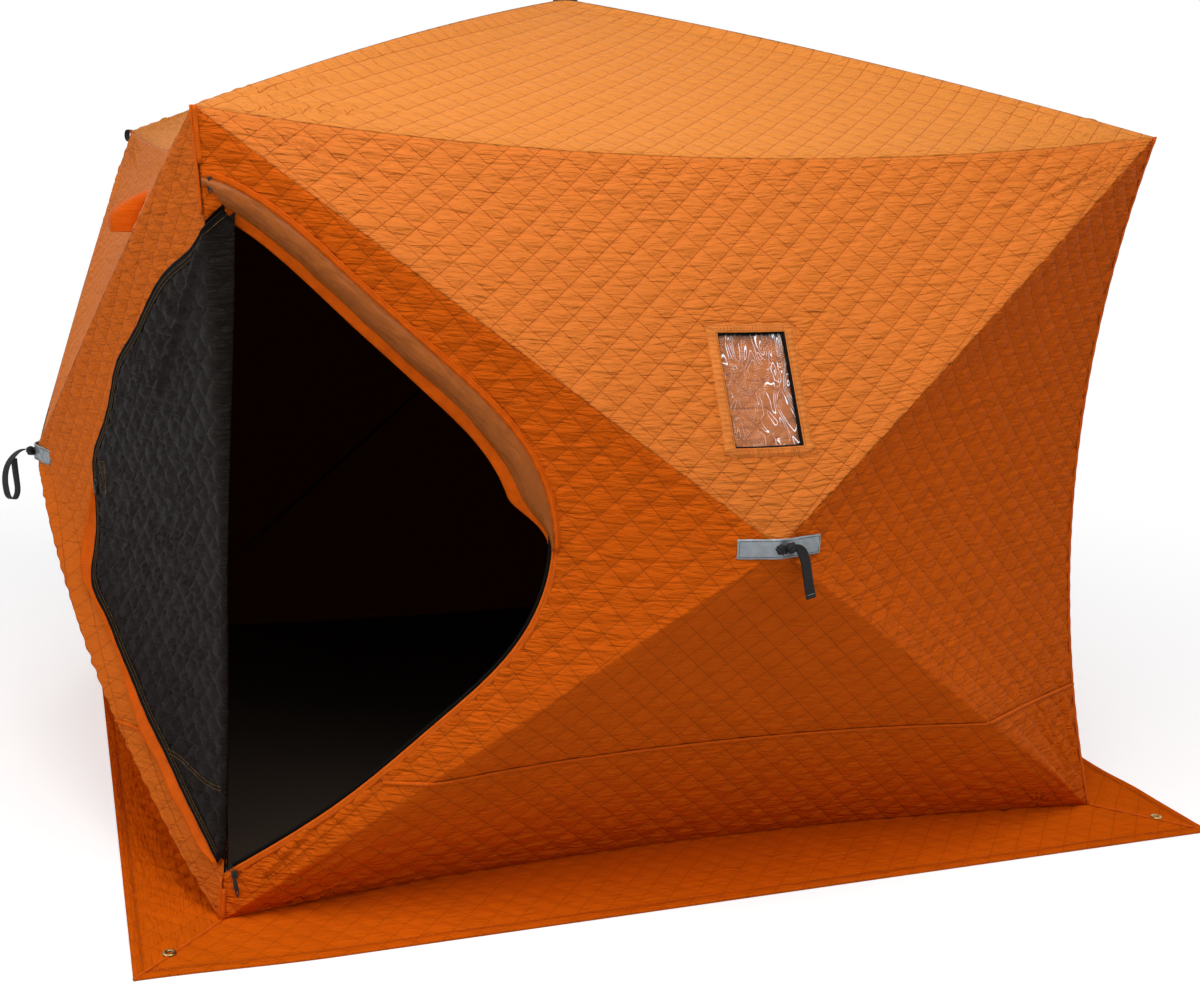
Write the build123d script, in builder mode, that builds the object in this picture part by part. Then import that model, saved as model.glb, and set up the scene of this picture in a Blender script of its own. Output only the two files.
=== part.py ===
from build123d import *
import os

# Ice fishing hut: a hub-style pop-up shelter. Four cloth walls and a cloth roof are each pushed
# out by a hub on four poles. Units are mm, +Z is up, the front wall faces -Y, and the origin is
# on the ground at the middle of the footprint. Every seam between two walls lies in a plane
# through the origin, so a panel is a cone seen from the origin, and its cloth lies
# between two sizes of that cone.

BASE_HALF = 1100.0        # half the footprint, at the ground corners
TOP_HALF_X = 1112.0       # half the width at the roof corners
TOP_HALF_Y = 1090.0       # half the depth at the roof corners
CORNER_HEIGHT = 1684.0    # ground to a roof corner
HUB_BULGE = 338.0         # how far a wall hub stands out from the base line
HUB_HEIGHT = 833.0        # ground to a wall hub
ROOF_HEIGHT = 2046.0      # ground to the roof hub
CORNER_SAG = 110.0        # how far the upright corner seams are drawn in
EAVE_SAG = 86.0           # how far the seams round the roof are drawn in
BASE_SAG = 90.0           # how far the bottom edges are drawn in
CLOTH = 0.994             # inner face of the cloth as a share of the outer face

POLE_RADIUS = 5.5
FITTING_RADIUS = 17.6     # of the ball that joins the pole sockets in a corner
SOCKET_RADIUS = 9.0       # outside of a pole socket or ferrule
HUB_DEPTH = 44.0          # hub centre behind the point of the cloth
HUB_RADIUS = 34.0
PIN_AT = 42.0             # hub centre to the pin that a pole end hinges on
PIN_RADIUS = 3.0

SKIRT_WIDTH = 190.0
SKIRT_THICK = 5.0
GROMMET_AT = 1215.0       # of each anchor grommet, along X and along Y
GROMMET_BORE = 6.0

WINDOW_WIDE = 154.0
WINDOW_TALL = 248.0
WINDOW_UP = 337.0         # window centre above the hub, along the panel
PATCH_WIDE = 194.0
PATCH_TALL = 42.0
STRAP_LEAN = 30.0         # how far the front strap has swung to one side, in degrees

# The doorway's curved zip, as distances from the corner towards the hub and heights.
ZIP_CURVE = [(-60, 1588), (86, 1500), (275, 1374), (483, 1199), (640, 1020), (689, 826),
             (640, 632), (483, 453), (275, 278), (86, 152), (-60, 64)]

os.makedirs("parts", exist_ok=True)


def base_corner(sx, sy):
    return Vector(sx * BASE_HALF, sy * BASE_HALF, 0)


def top_corner(sx, sy):
    return Vector(sx * TOP_HALF_X, sy * TOP_HALF_Y, CORNER_HEIGHT)


# Each wall: its hub, then the signs of its left and right corners as seen from outside.
WALLS = {
    "front": (Vector(0, -BASE_HALF - HUB_BULGE, HUB_HEIGHT), (-1, -1), (1, -1)),
    "right": (Vector(BASE_HALF + HUB_BULGE, 0, HUB_HEIGHT), (1, -1), (1, 1)),
    "back": (Vector(0, BASE_HALF + HUB_BULGE, HUB_HEIGHT), (1, 1), (-1, 1)),
    "left": (Vector(-BASE_HALF - HUB_BULGE, 0, HUB_HEIGHT), (-1, 1), (-1, -1)),
}
ROOF_HUB = Vector(0, 0, ROOF_HEIGHT)

# Each panel: the two ends of its outer seam, how far that seam is drawn in, and its hub.
PANELS = {}
for wall, (hub, low, high) in WALLS.items():
    PANELS[f"{wall}_wall_top"] = (top_corner(*low), top_corner(*high), EAVE_SAG, hub)
    PANELS[f"{wall}_wall_bottom"] = (base_corner(*low), base_corner(*high), BASE_SAG, hub)
    PANELS[f"{wall}_wall_left"] = (base_corner(*low), top_corner(*low), CORNER_SAG, hub)
    PANELS[f"{wall}_wall_right"] = (base_corner(*high), top_corner(*high), CORNER_SAG, hub)
    PANELS[f"roof_{wall}"] = (top_corner(*low), top_corner(*high), EAVE_SAG, ROOF_HUB)


def seam(panel):
    """The direction of a panel's outer seam, and the three points its arc runs through."""
    start, end, sag, hub = PANELS[panel]
    along = (end - start).normalized()
    middle = (start + end) * 0.5
    inward = (along * middle.dot(along) - middle).normalized()
    return along, (start, middle + inward * sag, end)


def cone(panel, size=1.0):
    """All that lies behind one panel, down to the origin."""
    start, end, sag, hub = PANELS[panel]
    along, arc = seam(panel)
    seam_plane = Plane(origin=(0, 0, 0), x_dir=along, z_dir=start.cross(end))
    a, m, b = (seam_plane.to_local_coords(p * size) for p in arc)
    with BuildPart() as body:
        with BuildSketch(seam_plane) as sector:
            with BuildLine():
                ThreePointArc(a, m, b)
                Line(b, (0, 0))
                Line((0, 0), a)
            make_face()
        tip = hub * size
        loft(sections=[sector.sketch.face(), Vertex(*tip)], ruled=True)
    return body.part


def layer(panel, outer=1.0, inner=CLOTH):
    """One panel of cloth, or a piece lying on it: a ruled loft from its seam towards its hub,
    stopping at a small hole for the hub bolt."""
    start, end, sag, hub = PANELS[panel]
    along, arc = seam(panel)
    reach = inner - 0.014
    with BuildPart() as sheet:
        for tip in (False, True):
            normal = start.cross(end).normalized()
            origin = normal * (reach * normal.dot(hub)) if tip else Vector(0, 0, 0)
            plane = Plane(origin=origin, x_dir=along, z_dir=normal)
            rows = []
            for size in (outer, inner):
                share = 1 - reach / size if tip else 1.0
                rows.append([plane.to_local_coords((hub + (p - hub) * share) * size) for p in arc])
            (a, m, b), (d, n, c) = rows
            with BuildSketch(plane):
                with BuildLine():
                    ThreePointArc(a, m, b)
                    Line(b, c)
                    ThreePointArc(c, n, d)
                    Line(d, a)
                make_face()
        loft(ruled=True)
    return sheet.part


def panel_plane(panel):
    """A flat plane at the panel's corner seam, X towards the hub and Y up."""
    start, end, sag, hub = PANELS[panel]
    out = Vector(hub.X - start.X, hub.Y - start.Y, 0)
    return Plane(origin=start, x_dir=out, z_dir=out.cross(Vector(0, 0, 1)))


def upright_plane(wall):
    """A plane up the middle of a wall's top panel, origin at the hub, Y up the panel."""
    hub, low, high = WALLS[wall]
    eave = (top_corner(*low) + top_corner(*high)) * 0.5
    across = (top_corner(*high) - top_corner(*low)).normalized()
    return Plane(origin=hub, x_dir=across, z_dir=across.cross(eave - hub))


def zip_curve(inset=0.0):
    """The zip's points, moved inwards by an even distance."""
    moved = []
    for i, (x, y) in enumerate(ZIP_CURVE):
        before = Vector(*ZIP_CURVE[max(i - 1, 0)])
        after = Vector(*ZIP_CURVE[min(i + 1, len(ZIP_CURVE) - 1)])
        run = (after - before).normalized()
        moved.append((x + run.Y * inset, y - run.X * inset))
    return moved


def door_prism(plane, inset=0.0):
    """The doorway's outline, pushed straight through the panel."""
    curve = zip_curve(inset)
    with BuildPart() as prism:
        with BuildSketch(plane):
            with BuildLine():
                Spline(*curve)
                Line(curve[-1], curve[0])
            make_face()
        extrude(amount=260, both=True)
    return prism.part


def band_prism(plane, outer, inner):
    """A curved strip between two splines, pushed straight through the panel."""
    with BuildPart() as prism:
        with BuildSketch(plane):
            with BuildLine():
                Spline(*outer)
                Line(outer[-1], inner[0])
                Spline(*inner)
                Line(inner[-1], outer[0])
            make_face()
        extrude(amount=260, both=True)
    return prism.part


def piece(panel, prism, outer=1.0, inner=CLOTH):
    with BuildPart() as cut:
        add(layer(panel, outer, inner))
        add(prism, mode=Mode.INTERSECT)
    return cut.part


def save(name, *shapes):
    solids = [s for shape in shapes for s in shape.solids()]
    whole = solids[0] if len(solids) == 1 else Compound(children=solids)
    whole.label = name
    export_step(whole, f"parts/{name}.step")


def hub_point(wall):
    """The point of the cloth over a hub, and the way it faces."""
    if wall in WALLS:
        hub = WALLS[wall][0]
        return hub, Vector(hub.X, hub.Y, 0).normalized()
    return ROOF_HUB, Vector(0, 0, 1)


# ---- cloth panels ----
def hub_bolt_hole(wall):
    hub, out = hub_point(wall)
    with BuildPart() as hole:
        with BuildSketch(Plane(origin=hub, z_dir=out)):
            Circle(4)
        extrude(amount=40, both=True)
    return hole.part


def window_prism(wall, grow=0.0):
    with BuildPart() as prism:
        with BuildSketch(upright_plane(wall)):
            with Locations((0, WINDOW_UP)):
                Rectangle(WINDOW_WIDE + 2 * grow, WINDOW_TALL + 2 * grow)
        extrude(amount=150, both=True)
    return prism.part


DOOR_PLANE = panel_plane("front_wall_left")
FLAP_PLANE = panel_plane("left_wall_right")

for panel in PANELS:
    wall = panel.split("_")[0]
    with BuildPart() as sheet:
        add(layer(panel))
        if panel in ("front_wall_top", "back_wall_top"):
            add(window_prism(wall), mode=Mode.SUBTRACT)
        if panel == "front_wall_left":
            add(door_prism(DOOR_PLANE), mode=Mode.SUBTRACT)
    if panel == "front_wall_left":
        # The doorway all but parts this panel, so it is cut in two at the widest point of the zip.
        split_plane = Plane(origin=(0, 0, ZIP_CURVE[5][1]), z_dir=(0, 0, 1))
        with BuildPart() as upper:
            add(sheet.part)
            split(bisect_by=split_plane, keep=Keep.TOP)
        with BuildPart() as lower:
            add(sheet.part)
            split(bisect_by=split_plane, keep=Keep.BOTTOM)
        save("front_wall_left_upper_panel", upper.part)
        save("front_wall_left_lower_panel", lower.part)
    else:
        save(f"{panel}_panel", sheet.part)

# ---- windows on the front and back walls ----
frames, panes, covers = [], [], []
for wall in ("front", "back"):
    top = f"{wall}_wall_top"
    with BuildPart() as frame:
        add(piece(top, window_prism(wall, 24), 1.0025, 1.0))
        add(window_prism(wall), mode=Mode.SUBTRACT)
    frames.append(frame.part)
    panes.append(piece(top, window_prism(wall), 1.0, 0.9985))
    covers.append(piece(top, window_prism(wall, 30), CLOTH, 0.9915))
save("window_frames", *frames)
save("window_panes", *panes)
save("window_covers", *covers)

# ---- door: the unzipped flap is folded round the corner seam on to the left wall ----
save("door_flap", piece("left_wall_right", door_prism(FLAP_PLANE, 13), 1.005, 1.0))
with BuildPart() as flap_tape:
    add(piece("left_wall_right", door_prism(FLAP_PLANE), 1.004, 1.0))
    add(door_prism(FLAP_PLANE, 13), mode=Mode.SUBTRACT)
    with BuildSketch(FLAP_PLANE):
        with Locations((20, 826)):
            Rectangle(110, 1700)
    extrude(amount=260, both=True, mode=Mode.SUBTRACT)
save("door_flap_zip_tape", flap_tape.part)

with BuildPart() as wall_tape:
    add(piece("front_wall_left", door_prism(DOOR_PLANE), 0.999, 0.9965))
    add(door_prism(DOOR_PLANE, 11), mode=Mode.SUBTRACT)
    with BuildSketch(DOOR_PLANE):
        with Locations((0, 826)):
            Rectangle(150, 1700)
    extrude(amount=260, both=True, mode=Mode.SUBTRACT)
save("doorway_zip_tape", wall_tape.part)

# The storm flap is sewn along the upper half of the zip and hangs over the opening.
storm_outer = [(50, 1535), (94, 1512), (285, 1385), (492, 1208), (650, 1026), (699, 826)]
storm_inner = [(686, 823), (642, 884), (582, 945), (480, 1055), (381, 1168), (187, 1351), (78, 1466)]
save("storm_flap", piece("front_wall_left",
                         band_prism(DOOR_PLANE, storm_outer, storm_inner), 1.0035, 1.0))
# The flap's own lower storm flap stands out past its free edge.
lower_outer = [(700, 826), (700, 720), (668, 590), (512, 410), (300, 236), (112, 122)]
lower_inner = [(104, 163), (275, 278), (483, 453), (640, 632), (683, 726), (689, 826)]
with BuildPart() as lower_storm:
    add(piece("left_wall_right", band_prism(FLAP_PLANE, lower_outer, lower_inner), 1.003, 1.0))
    add(door_prism(FLAP_PLANE), mode=Mode.SUBTRACT)
save("door_flap_storm_flap", *lower_storm.part.solids())


def slider(plane, panel, at, size, outer, inner):
    with BuildPart() as prism:
        with BuildSketch(plane):
            with Locations(at):
                RectangleRounded(*size, 2.5)
        extrude(amount=260, both=True)
    return piece(panel, prism.part, outer, inner)


save("zip_sliders",
     slider(DOOR_PLANE, "front_wall_left", (34, 1560), (12, 30), 1.005, 1.0),
     slider(DOOR_PLANE, "front_wall_left", (34, 92), (12, 30), 1.005, 1.0),
     slider(FLAP_PLANE, "left_wall_right", (668, 826), (18, 26), 1.010, 1.005))


# ---- frame: hubs, poles and corner fittings ----
def wall_turn(wall):
    return {"front": 0, "right": 90, "back": 180, "left": 270}[wall]


def hub_centre(wall):
    hub, out = hub_point(wall)
    return hub - out * HUB_DEPTH, out


def top_anchor(sx, sy):
    return top_corner(sx, sy) * 0.962


def foot_anchor(sx, sy):
    return Vector(sx * 1062, sy * 1062, 30)


def pole_ends(wall):
    if wall in WALLS:
        hub, low, high = WALLS[wall]
        return [top_anchor(*low), top_anchor(*high), foot_anchor(*low), foot_anchor(*high)]
    return [top_anchor(sx, sy) for sx in (-1, 1) for sy in (-1, 1)]


def rod(start, end, radius, trim_start=0.0, trim_end=0.0):
    along = (end - start).normalized()
    a = start + along * trim_start
    length = (end - start).length - trim_start - trim_end
    with BuildPart() as bar:
        with BuildSketch(Plane(origin=a, z_dir=along)):
            Circle(radius)
        extrude(amount=length)
    return bar.part


HUBS = list(WALLS) + ["roof"]
poles = {w: [rod(hub_centre(w)[0], end, POLE_RADIUS, PIN_AT + 18, 12) for end in pole_ends(w)] for w in HUBS}
for w in HUBS:
    save(f"{w}_poles", *poles[w])


def pole_plane(centre, out, end):
    """X along a pole, Y towards the cloth, with the hub's centre as origin."""
    along = (end - centre).normalized()
    return Plane(origin=centre, x_dir=along, z_dir=along.cross(out))


def hub_body(w):
    """A moulded hub: a dished disc round a central boss, with a forked lug and a pin for each pole."""
    centre, out = hub_centre(w)
    side = Vector(0, 0, 1) if w in WALLS else Vector(1, 0, 0)
    with BuildPart() as body:
        with BuildSketch(Plane(origin=centre, x_dir=side, z_dir=side.cross(out))):
            with BuildLine():
                Polyline((0, -11), (12, -11), (13.5, -9.5), (14.5, 2), (26, 2), (28, -7), (32.5, -8),
                         (HUB_RADIUS, -6), (HUB_RADIUS, 6), (30, 10), (0, 10), close=True)
            make_face()
        revolve(axis=Axis(centre, out))
        for end in pole_ends(w):
            lug = pole_plane(centre, out, end)
            with BuildSketch(lug.offset(4.5), lug.offset(-8.5)):
                with Locations(((PIN_AT + 26) / 2, 0)):
                    SlotCenterToCenter(PIN_AT - 26, 14)
            extrude(amount=4)
            with BuildSketch(lug):
                with Locations((PIN_AT, 0)):
                    Circle(PIN_RADIUS)
            extrude(amount=6, both=True)
        with BuildSketch(Plane(origin=centre, z_dir=out)):
            Circle(4)
        extrude(amount=HUB_DEPTH + 4)
        with BuildSketch(Plane(origin=centre + out * (HUB_DEPTH + 3), z_dir=out)):
            Circle(10)
        extrude(amount=4 if w == "roof" else 9)
    return body.part


def ferrule(w, end, pole):
    """The swivel on a pole's end: a flat eye on the hub's pin, and a tapered sleeve for the rod."""
    centre, out = hub_centre(w)
    lug = pole_plane(centre, out, end)
    with BuildPart() as swivel:
        with BuildSketch(lug):
            with BuildLine():
                Polyline((PIN_AT + 10, 0), (PIN_AT + 10, 7.5), (PIN_AT + 11.5, SOCKET_RADIUS),
                         (PIN_AT + 42, SOCKET_RADIUS), (PIN_AT + 52, 7), (PIN_AT + 52, 0), close=True)
            make_face()
        revolve(axis=Axis(centre, lug.x_dir))
        with BuildSketch(lug):
            with Locations((PIN_AT + 7, 0)):
                SlotCenterToCenter(14, 13)
        extrude(amount=4.2, both=True)
        with BuildSketch(lug):
            with Locations((PIN_AT, 0)):
                Circle(PIN_RADIUS + 0.1)
        extrude(amount=10, both=True, mode=Mode.SUBTRACT)
        add(pole, mode=Mode.SUBTRACT)
    return swivel.part


wall_hubs = []
for w in HUBS:
    pieces = [hub_body(w)] + [ferrule(w, end, pole) for end, pole in zip(pole_ends(w), poles[w])]
    if w == "roof":
        save("roof_hub", *pieces)
    else:
        wall_hubs += pieces
save("wall_hubs", *wall_hubs)

with BuildPart() as cap:
    with BuildSketch(Plane.XY.offset(ROOF_HEIGHT - 12)):
        Circle(34)
    extrude(amount=15)
    for w in WALLS:
        add(cone(f"roof_{w}"), mode=Mode.SUBTRACT)
    add(hub_bolt_hole("roof"), mode=Mode.SUBTRACT)
save("roof_hub_cap", cap.part)


def corner_block(anchor, ends):
    """A moulded corner: a socket for each pole, and a tip that fills the corner of the cloth,
    or a foot that stands on the ground."""
    with BuildPart() as block:
        with Locations(Location(anchor, (0, 0, 0 if anchor.X > 0 else 180))):
            Sphere(FITTING_RADIUS)
        if anchor.Z > 100:
            add(rod(anchor, anchor * (0.985 / 0.962), 8))
        else:
            with BuildSketch(Plane(origin=(anchor.X, anchor.Y, 0), x_dir=(1, 0, 0), z_dir=(0, -1, 0))):
                with BuildLine():
                    Polyline((0, 0), (20, 0), (20, 4), (12, 12), (12, anchor.Z), (0, anchor.Z), close=True)
                make_face()
            revolve(axis=Axis((anchor.X, anchor.Y, 0), (0, 0, 1)))
        for pole, hub in ends:
            add(rod(anchor, hub, SOCKET_RADIUS, 0, (hub - anchor).length - 58))
        for pole, hub in ends:
            add(pole, mode=Mode.SUBTRACT)
    return block.part


def at_corner(anchor):
    near = []
    for w in HUBS:
        for end, pole in zip(pole_ends(w), poles[w]):
            if (end - anchor).length < 1:
                near.append((pole, hub_centre(w)[0]))
    return near


corners = [(sx, sy) for sx in (-1, 1) for sy in (-1, 1)]
anchors = [top_anchor(*c) for c in corners] + [foot_anchor(*c) for c in corners]
save("corner_fittings", *[corner_block(anchor, at_corner(anchor)) for anchor in anchors])

# ---- outside of the hubs: reflective patches and pull straps ----
patches, straps = [], []
for w in WALLS:
    hub = BASE_HALF + HUB_BULGE
    half = PATCH_WIDE / 2
    drop = half * 0.405
    with BuildPart() as patch:
        with BuildSketch(Plane.XY.offset(HUB_HEIGHT - PATCH_TALL / 2)):
            with BuildLine():
                Polyline((-half, -hub - 3 + drop), (0, -hub - 3), (half, -hub - 3 + drop),
                         (half, -hub + 14 + drop), (0, -hub + 14), (-half, -hub + 14 + drop),
                         close=True)
            make_face()
        extrude(amount=PATCH_TALL)
    patch = patch.part.rotate(Axis.Z, wall_turn(w))
    with BuildPart() as fitted:
        add(patch)
        for side in ("top", "bottom", "left", "right"):
            add(cone(f"{w}_wall_{side}"), mode=Mode.SUBTRACT)
        add(hub_bolt_hole(w), mode=Mode.SUBTRACT)
    patches.append(fitted.part)
    # On the front and back the strap hangs on the cloth; on the sides a cord holds its loop clear.
    clear = w in ("left", "right")
    with BuildPart() as strap:
        with BuildSketch(Plane.YZ.offset(-11)):
            if clear:
                with Locations((-hub - 62, HUB_HEIGHT - 66)):
                    SlotOverall(120, 44, rotation=81)
                    SlotOverall(115, 39, rotation=81, mode=Mode.SUBTRACT)
            else:
                with Locations((-hub - 11, HUB_HEIGHT - 56)):
                    SlotOverall(112, 15, rotation=90)
                    SlotOverall(107, 10, rotation=90, mode=Mode.SUBTRACT)
        extrude(amount=22)
        if clear:
            add(rod(Vector(0, -hub - 12.6, HUB_HEIGHT), Vector(0, -hub - 36, HUB_HEIGHT + 2), 2))
            add(rod(Vector(0, -hub - 35, HUB_HEIGHT + 2), Vector(0, -hub - 55, HUB_HEIGHT - 9), 2))
        else:
            with BuildSketch(Plane(origin=(0, -hub, HUB_HEIGHT), z_dir=(0, -1, 0))):
                Circle(10)
            extrude(amount=30, both=True, mode=Mode.SUBTRACT)
    strap = strap.part if clear else strap.part.rotate(
        Axis((0, -hub, HUB_HEIGHT), (0, 1, 0)), -STRAP_LEAN if w == "front" else 0)
    straps.append(strap.rotate(Axis.Z, wall_turn(w)))
save("hub_patches", *patches)
save("pull_straps", *straps)

# ---- vent hoods on the left and right walls ----
hoods, meshes = [], []
for turn in (0, 180):
    profile = [(-1120, 1502), (-1158, 1496), (-1222, 1452), (-1203, 1403), (-1120, 1403)]
    inside = [(-1120, 1498.5), (-1157, 1492.6), (-1217.6, 1450.6), (-1199, 1403), (-1120, 1403)]
    with BuildPart() as hood:
        with BuildSketch(Plane.XZ.offset(-75)):
            with BuildLine():
                Polyline(*profile, close=True)
            make_face()
        extrude(amount=150)
        with BuildSketch(Plane.XZ.offset(-72)):
            with BuildLine():
                Polyline(*inside, close=True)
            make_face()
        extrude(amount=144, mode=Mode.SUBTRACT)
        add(cone("left_wall_top"), mode=Mode.SUBTRACT)
    hoods.append(hood.part.rotate(Axis.Z, turn))
    with BuildPart() as opening:
        with BuildSketch(Plane.YZ):
            with Locations((0, 1436)):
                Rectangle(128, 64)
        extrude(amount=-1600)
    meshes.append(piece("left_wall_top", opening.part, 1.0015, 1.0).rotate(Axis.Z, turn))
save("vent_hoods", *hoods)
save("vent_meshes", *meshes)

# ---- skirt on the ground, one strip a wall, mitred at the corners ----
grommet_spots = [(sx * GROMMET_AT, sy * GROMMET_AT) for sx, sy in corners]
for w, (hub, low, high) in WALLS.items():
    far = BASE_HALF + SKIRT_WIDTH
    with BuildPart() as strip:
        with BuildSketch():
            with BuildLine():
                Polyline((-BASE_HALF, -BASE_HALF), (-far, -far), (far, -far),
                         (BASE_HALF, -BASE_HALF))
                ThreePointArc((BASE_HALF, -BASE_HALF), (0, BASE_SAG - BASE_HALF),
                              (-BASE_HALF, -BASE_HALF))
            make_face()
        extrude(amount=SKIRT_THICK)
    strip = strip.part.rotate(Axis.Z, wall_turn(w))
    with BuildPart() as skirt:
        add(strip)
        ring = list(WALLS)
        before, after = ring[ring.index(w) - 1], ring[(ring.index(w) + 1) % 4]
        for panel in (f"{w}_wall_bottom", f"{w}_wall_left", f"{w}_wall_right",
                      f"{before}_wall_right", f"{after}_wall_left"):
            add(cone(panel), mode=Mode.SUBTRACT)
        with BuildSketch():
            with Locations(*grommet_spots):
                Circle(9)
        extrude(amount=SKIRT_THICK, mode=Mode.SUBTRACT)
    save(f"{w}_skirt", max(skirt.part.solids(), key=lambda s: s.volume))

grommets = []
for spot in grommet_spots:
    with BuildPart() as grommet:
        with BuildSketch():
            with Locations(spot):
                Circle(9)
        extrude(amount=SKIRT_THICK)
        with BuildSketch(Plane.XY.offset(SKIRT_THICK)):
            with Locations(spot):
                Circle(14)
        extrude(amount=1.5)
        with BuildSketch():
            with Locations(spot):
                Circle(GROMMET_BORE)
        extrude(amount=20, mode=Mode.SUBTRACT)
    grommets.append(grommet.part)
save("anchor_grommets", *grommets)

# ---- black webbing tabs at the back roof corners ----
tabs = []
for sx in (-1, 1):
    with BuildPart() as tab:
        with Locations((sx * (TOP_HALF_X + 2), TOP_HALF_Y + 2, CORNER_HEIGHT - 14)):
            Box(26, 22, 34)
        for panel in ("back_wall_top", "roof_back", "back_wall_left", "back_wall_right",
                      "left_wall_top", "left_wall_left", "roof_left",
                      "right_wall_top", "right_wall_right", "roof_right"):
            add(cone(panel), mode=Mode.SUBTRACT)
    tabs.append(max(tab.part.solids(), key=lambda s: s.volume))
save("back_corner_tabs", *tabs)
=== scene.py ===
"""Looks of a hub-style pop-up ice fishing hut, sewn from quilted cloth over fibreglass poles.

Everything is in metres, +Z up, with the doorway wall facing -Y. A piece of cloth is cut flat as a
tailor would cut it, in pattern coordinates whose origin is the hub, and is then laid over its
triangle of poles and seams.
"""

import math

import bmesh
import bpy
import numpy as np
from bpy.props import FloatProperty, FloatVectorProperty, IntProperty, PointerProperty
from mathutils import Matrix, Vector


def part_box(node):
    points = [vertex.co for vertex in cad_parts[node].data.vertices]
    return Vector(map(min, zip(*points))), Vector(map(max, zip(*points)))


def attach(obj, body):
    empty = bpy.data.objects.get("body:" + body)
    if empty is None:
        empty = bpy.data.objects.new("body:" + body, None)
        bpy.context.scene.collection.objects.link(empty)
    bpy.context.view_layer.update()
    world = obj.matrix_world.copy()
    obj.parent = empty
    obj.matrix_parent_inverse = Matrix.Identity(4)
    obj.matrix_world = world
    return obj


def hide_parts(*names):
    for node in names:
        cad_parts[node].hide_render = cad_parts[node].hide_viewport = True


bl_info = {
    "name": "Quilted ice fishing hut",
    "version": (1, 0, 0),
    "blender": (4, 5, 0),
    "location": "3D View > Sidebar > Hut",
    "description": "Sews the quilted shell, door, windows, skirt and fittings of a hub-style ice fishing hut",
    "category": "Add Mesh",
}

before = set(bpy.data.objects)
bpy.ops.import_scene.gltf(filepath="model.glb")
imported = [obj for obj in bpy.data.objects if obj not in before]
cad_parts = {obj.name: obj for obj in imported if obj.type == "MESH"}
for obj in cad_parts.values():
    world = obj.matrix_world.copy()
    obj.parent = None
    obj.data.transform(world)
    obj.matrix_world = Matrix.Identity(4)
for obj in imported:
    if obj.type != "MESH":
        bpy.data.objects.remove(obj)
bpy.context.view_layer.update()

# Sizes that the cloth shares with the frame of poles.
BASE_HALF = 1.100
TOP_HALF_X = 1.112
TOP_HALF_Y = 1.090
CORNER_HEIGHT = 1.684
HUB_BULGE = 0.338
HUB_OUT = BASE_HALF + HUB_BULGE
HUB_HEIGHT = 0.833
ROOF_HEIGHT = 2.046
CORNER_SAG = 0.110
OPEN_CORNER_SAG = 0.050
EAVE_SAG = 0.086
BASE_SAG = 0.090
SKIRT_WIDTH = 0.190
GROMMET_RADIUS = 0.014
# Thickness of thread, tape, plain cloth and webbing.
THREAD_WIDTH = 0.0009
TAPE = 0.0012
PLAIN = 0.0014
WEBBING = 0.0016
# The folded door: radius of its bend at the corner, and how far its head is set back there.
DOOR_BEND = 0.018
DOOR_TUCK = 0.020
UP = np.array((0, 0, 1.0))
LEVEL = np.array((1, 1, 0))
# The lining's share of the shell's distance from the middle of the floor.
CLOTH = 0.994

# The zip round the doorway: distance from the corner towards the hub, and height.
ZIP_ROUTE = [(-0.060, 1.548), (0.016, 1.544), (0.086, 1.515), (0.275, 1.365), (0.483, 1.182), (0.634, 1.018),
             (0.689, 0.826), (0.628, 0.632), (0.461, 0.453), (0.262, 0.278), (0.082, 0.152), (-0.060, 0.064)]
# The same edge on the door folded back, where it hangs slack and its head reaches past the corner.
FLAP_ROUTE = [(-0.100, 1.540), (-0.042, 1.500), (0.050, 1.424), (0.242, 1.336), (0.372, 1.240), (0.535, 1.112),
              (0.640, 0.975), (0.722, 0.885), (0.707, 0.755), (0.702, 0.610), (0.580, 0.515), (0.380, 0.385),
              (0.250, 0.295), (0.090, 0.184), (-0.060, 0.075)]

WALLS = {
    "front": ((0, -HUB_OUT, HUB_HEIGHT), (-1, -1), (1, -1)),
    "right": ((HUB_OUT, 0, HUB_HEIGHT), (1, -1), (1, 1)),
    "back": ((0, HUB_OUT, HUB_HEIGHT), (1, 1), (-1, 1)),
    "left": ((-HUB_OUT, 0, HUB_HEIGHT), (-1, 1), (-1, -1)),
}
TURNS = {"front": 0.0, "right": math.pi / 2, "back": math.pi, "left": -math.pi / 2}


# ---- sizes and colours that can be changed ----
def size_prop(name, default, low, high, description):
    return FloatProperty(name=name, description=description, default=default, min=low, max=high, unit="LENGTH")


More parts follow.
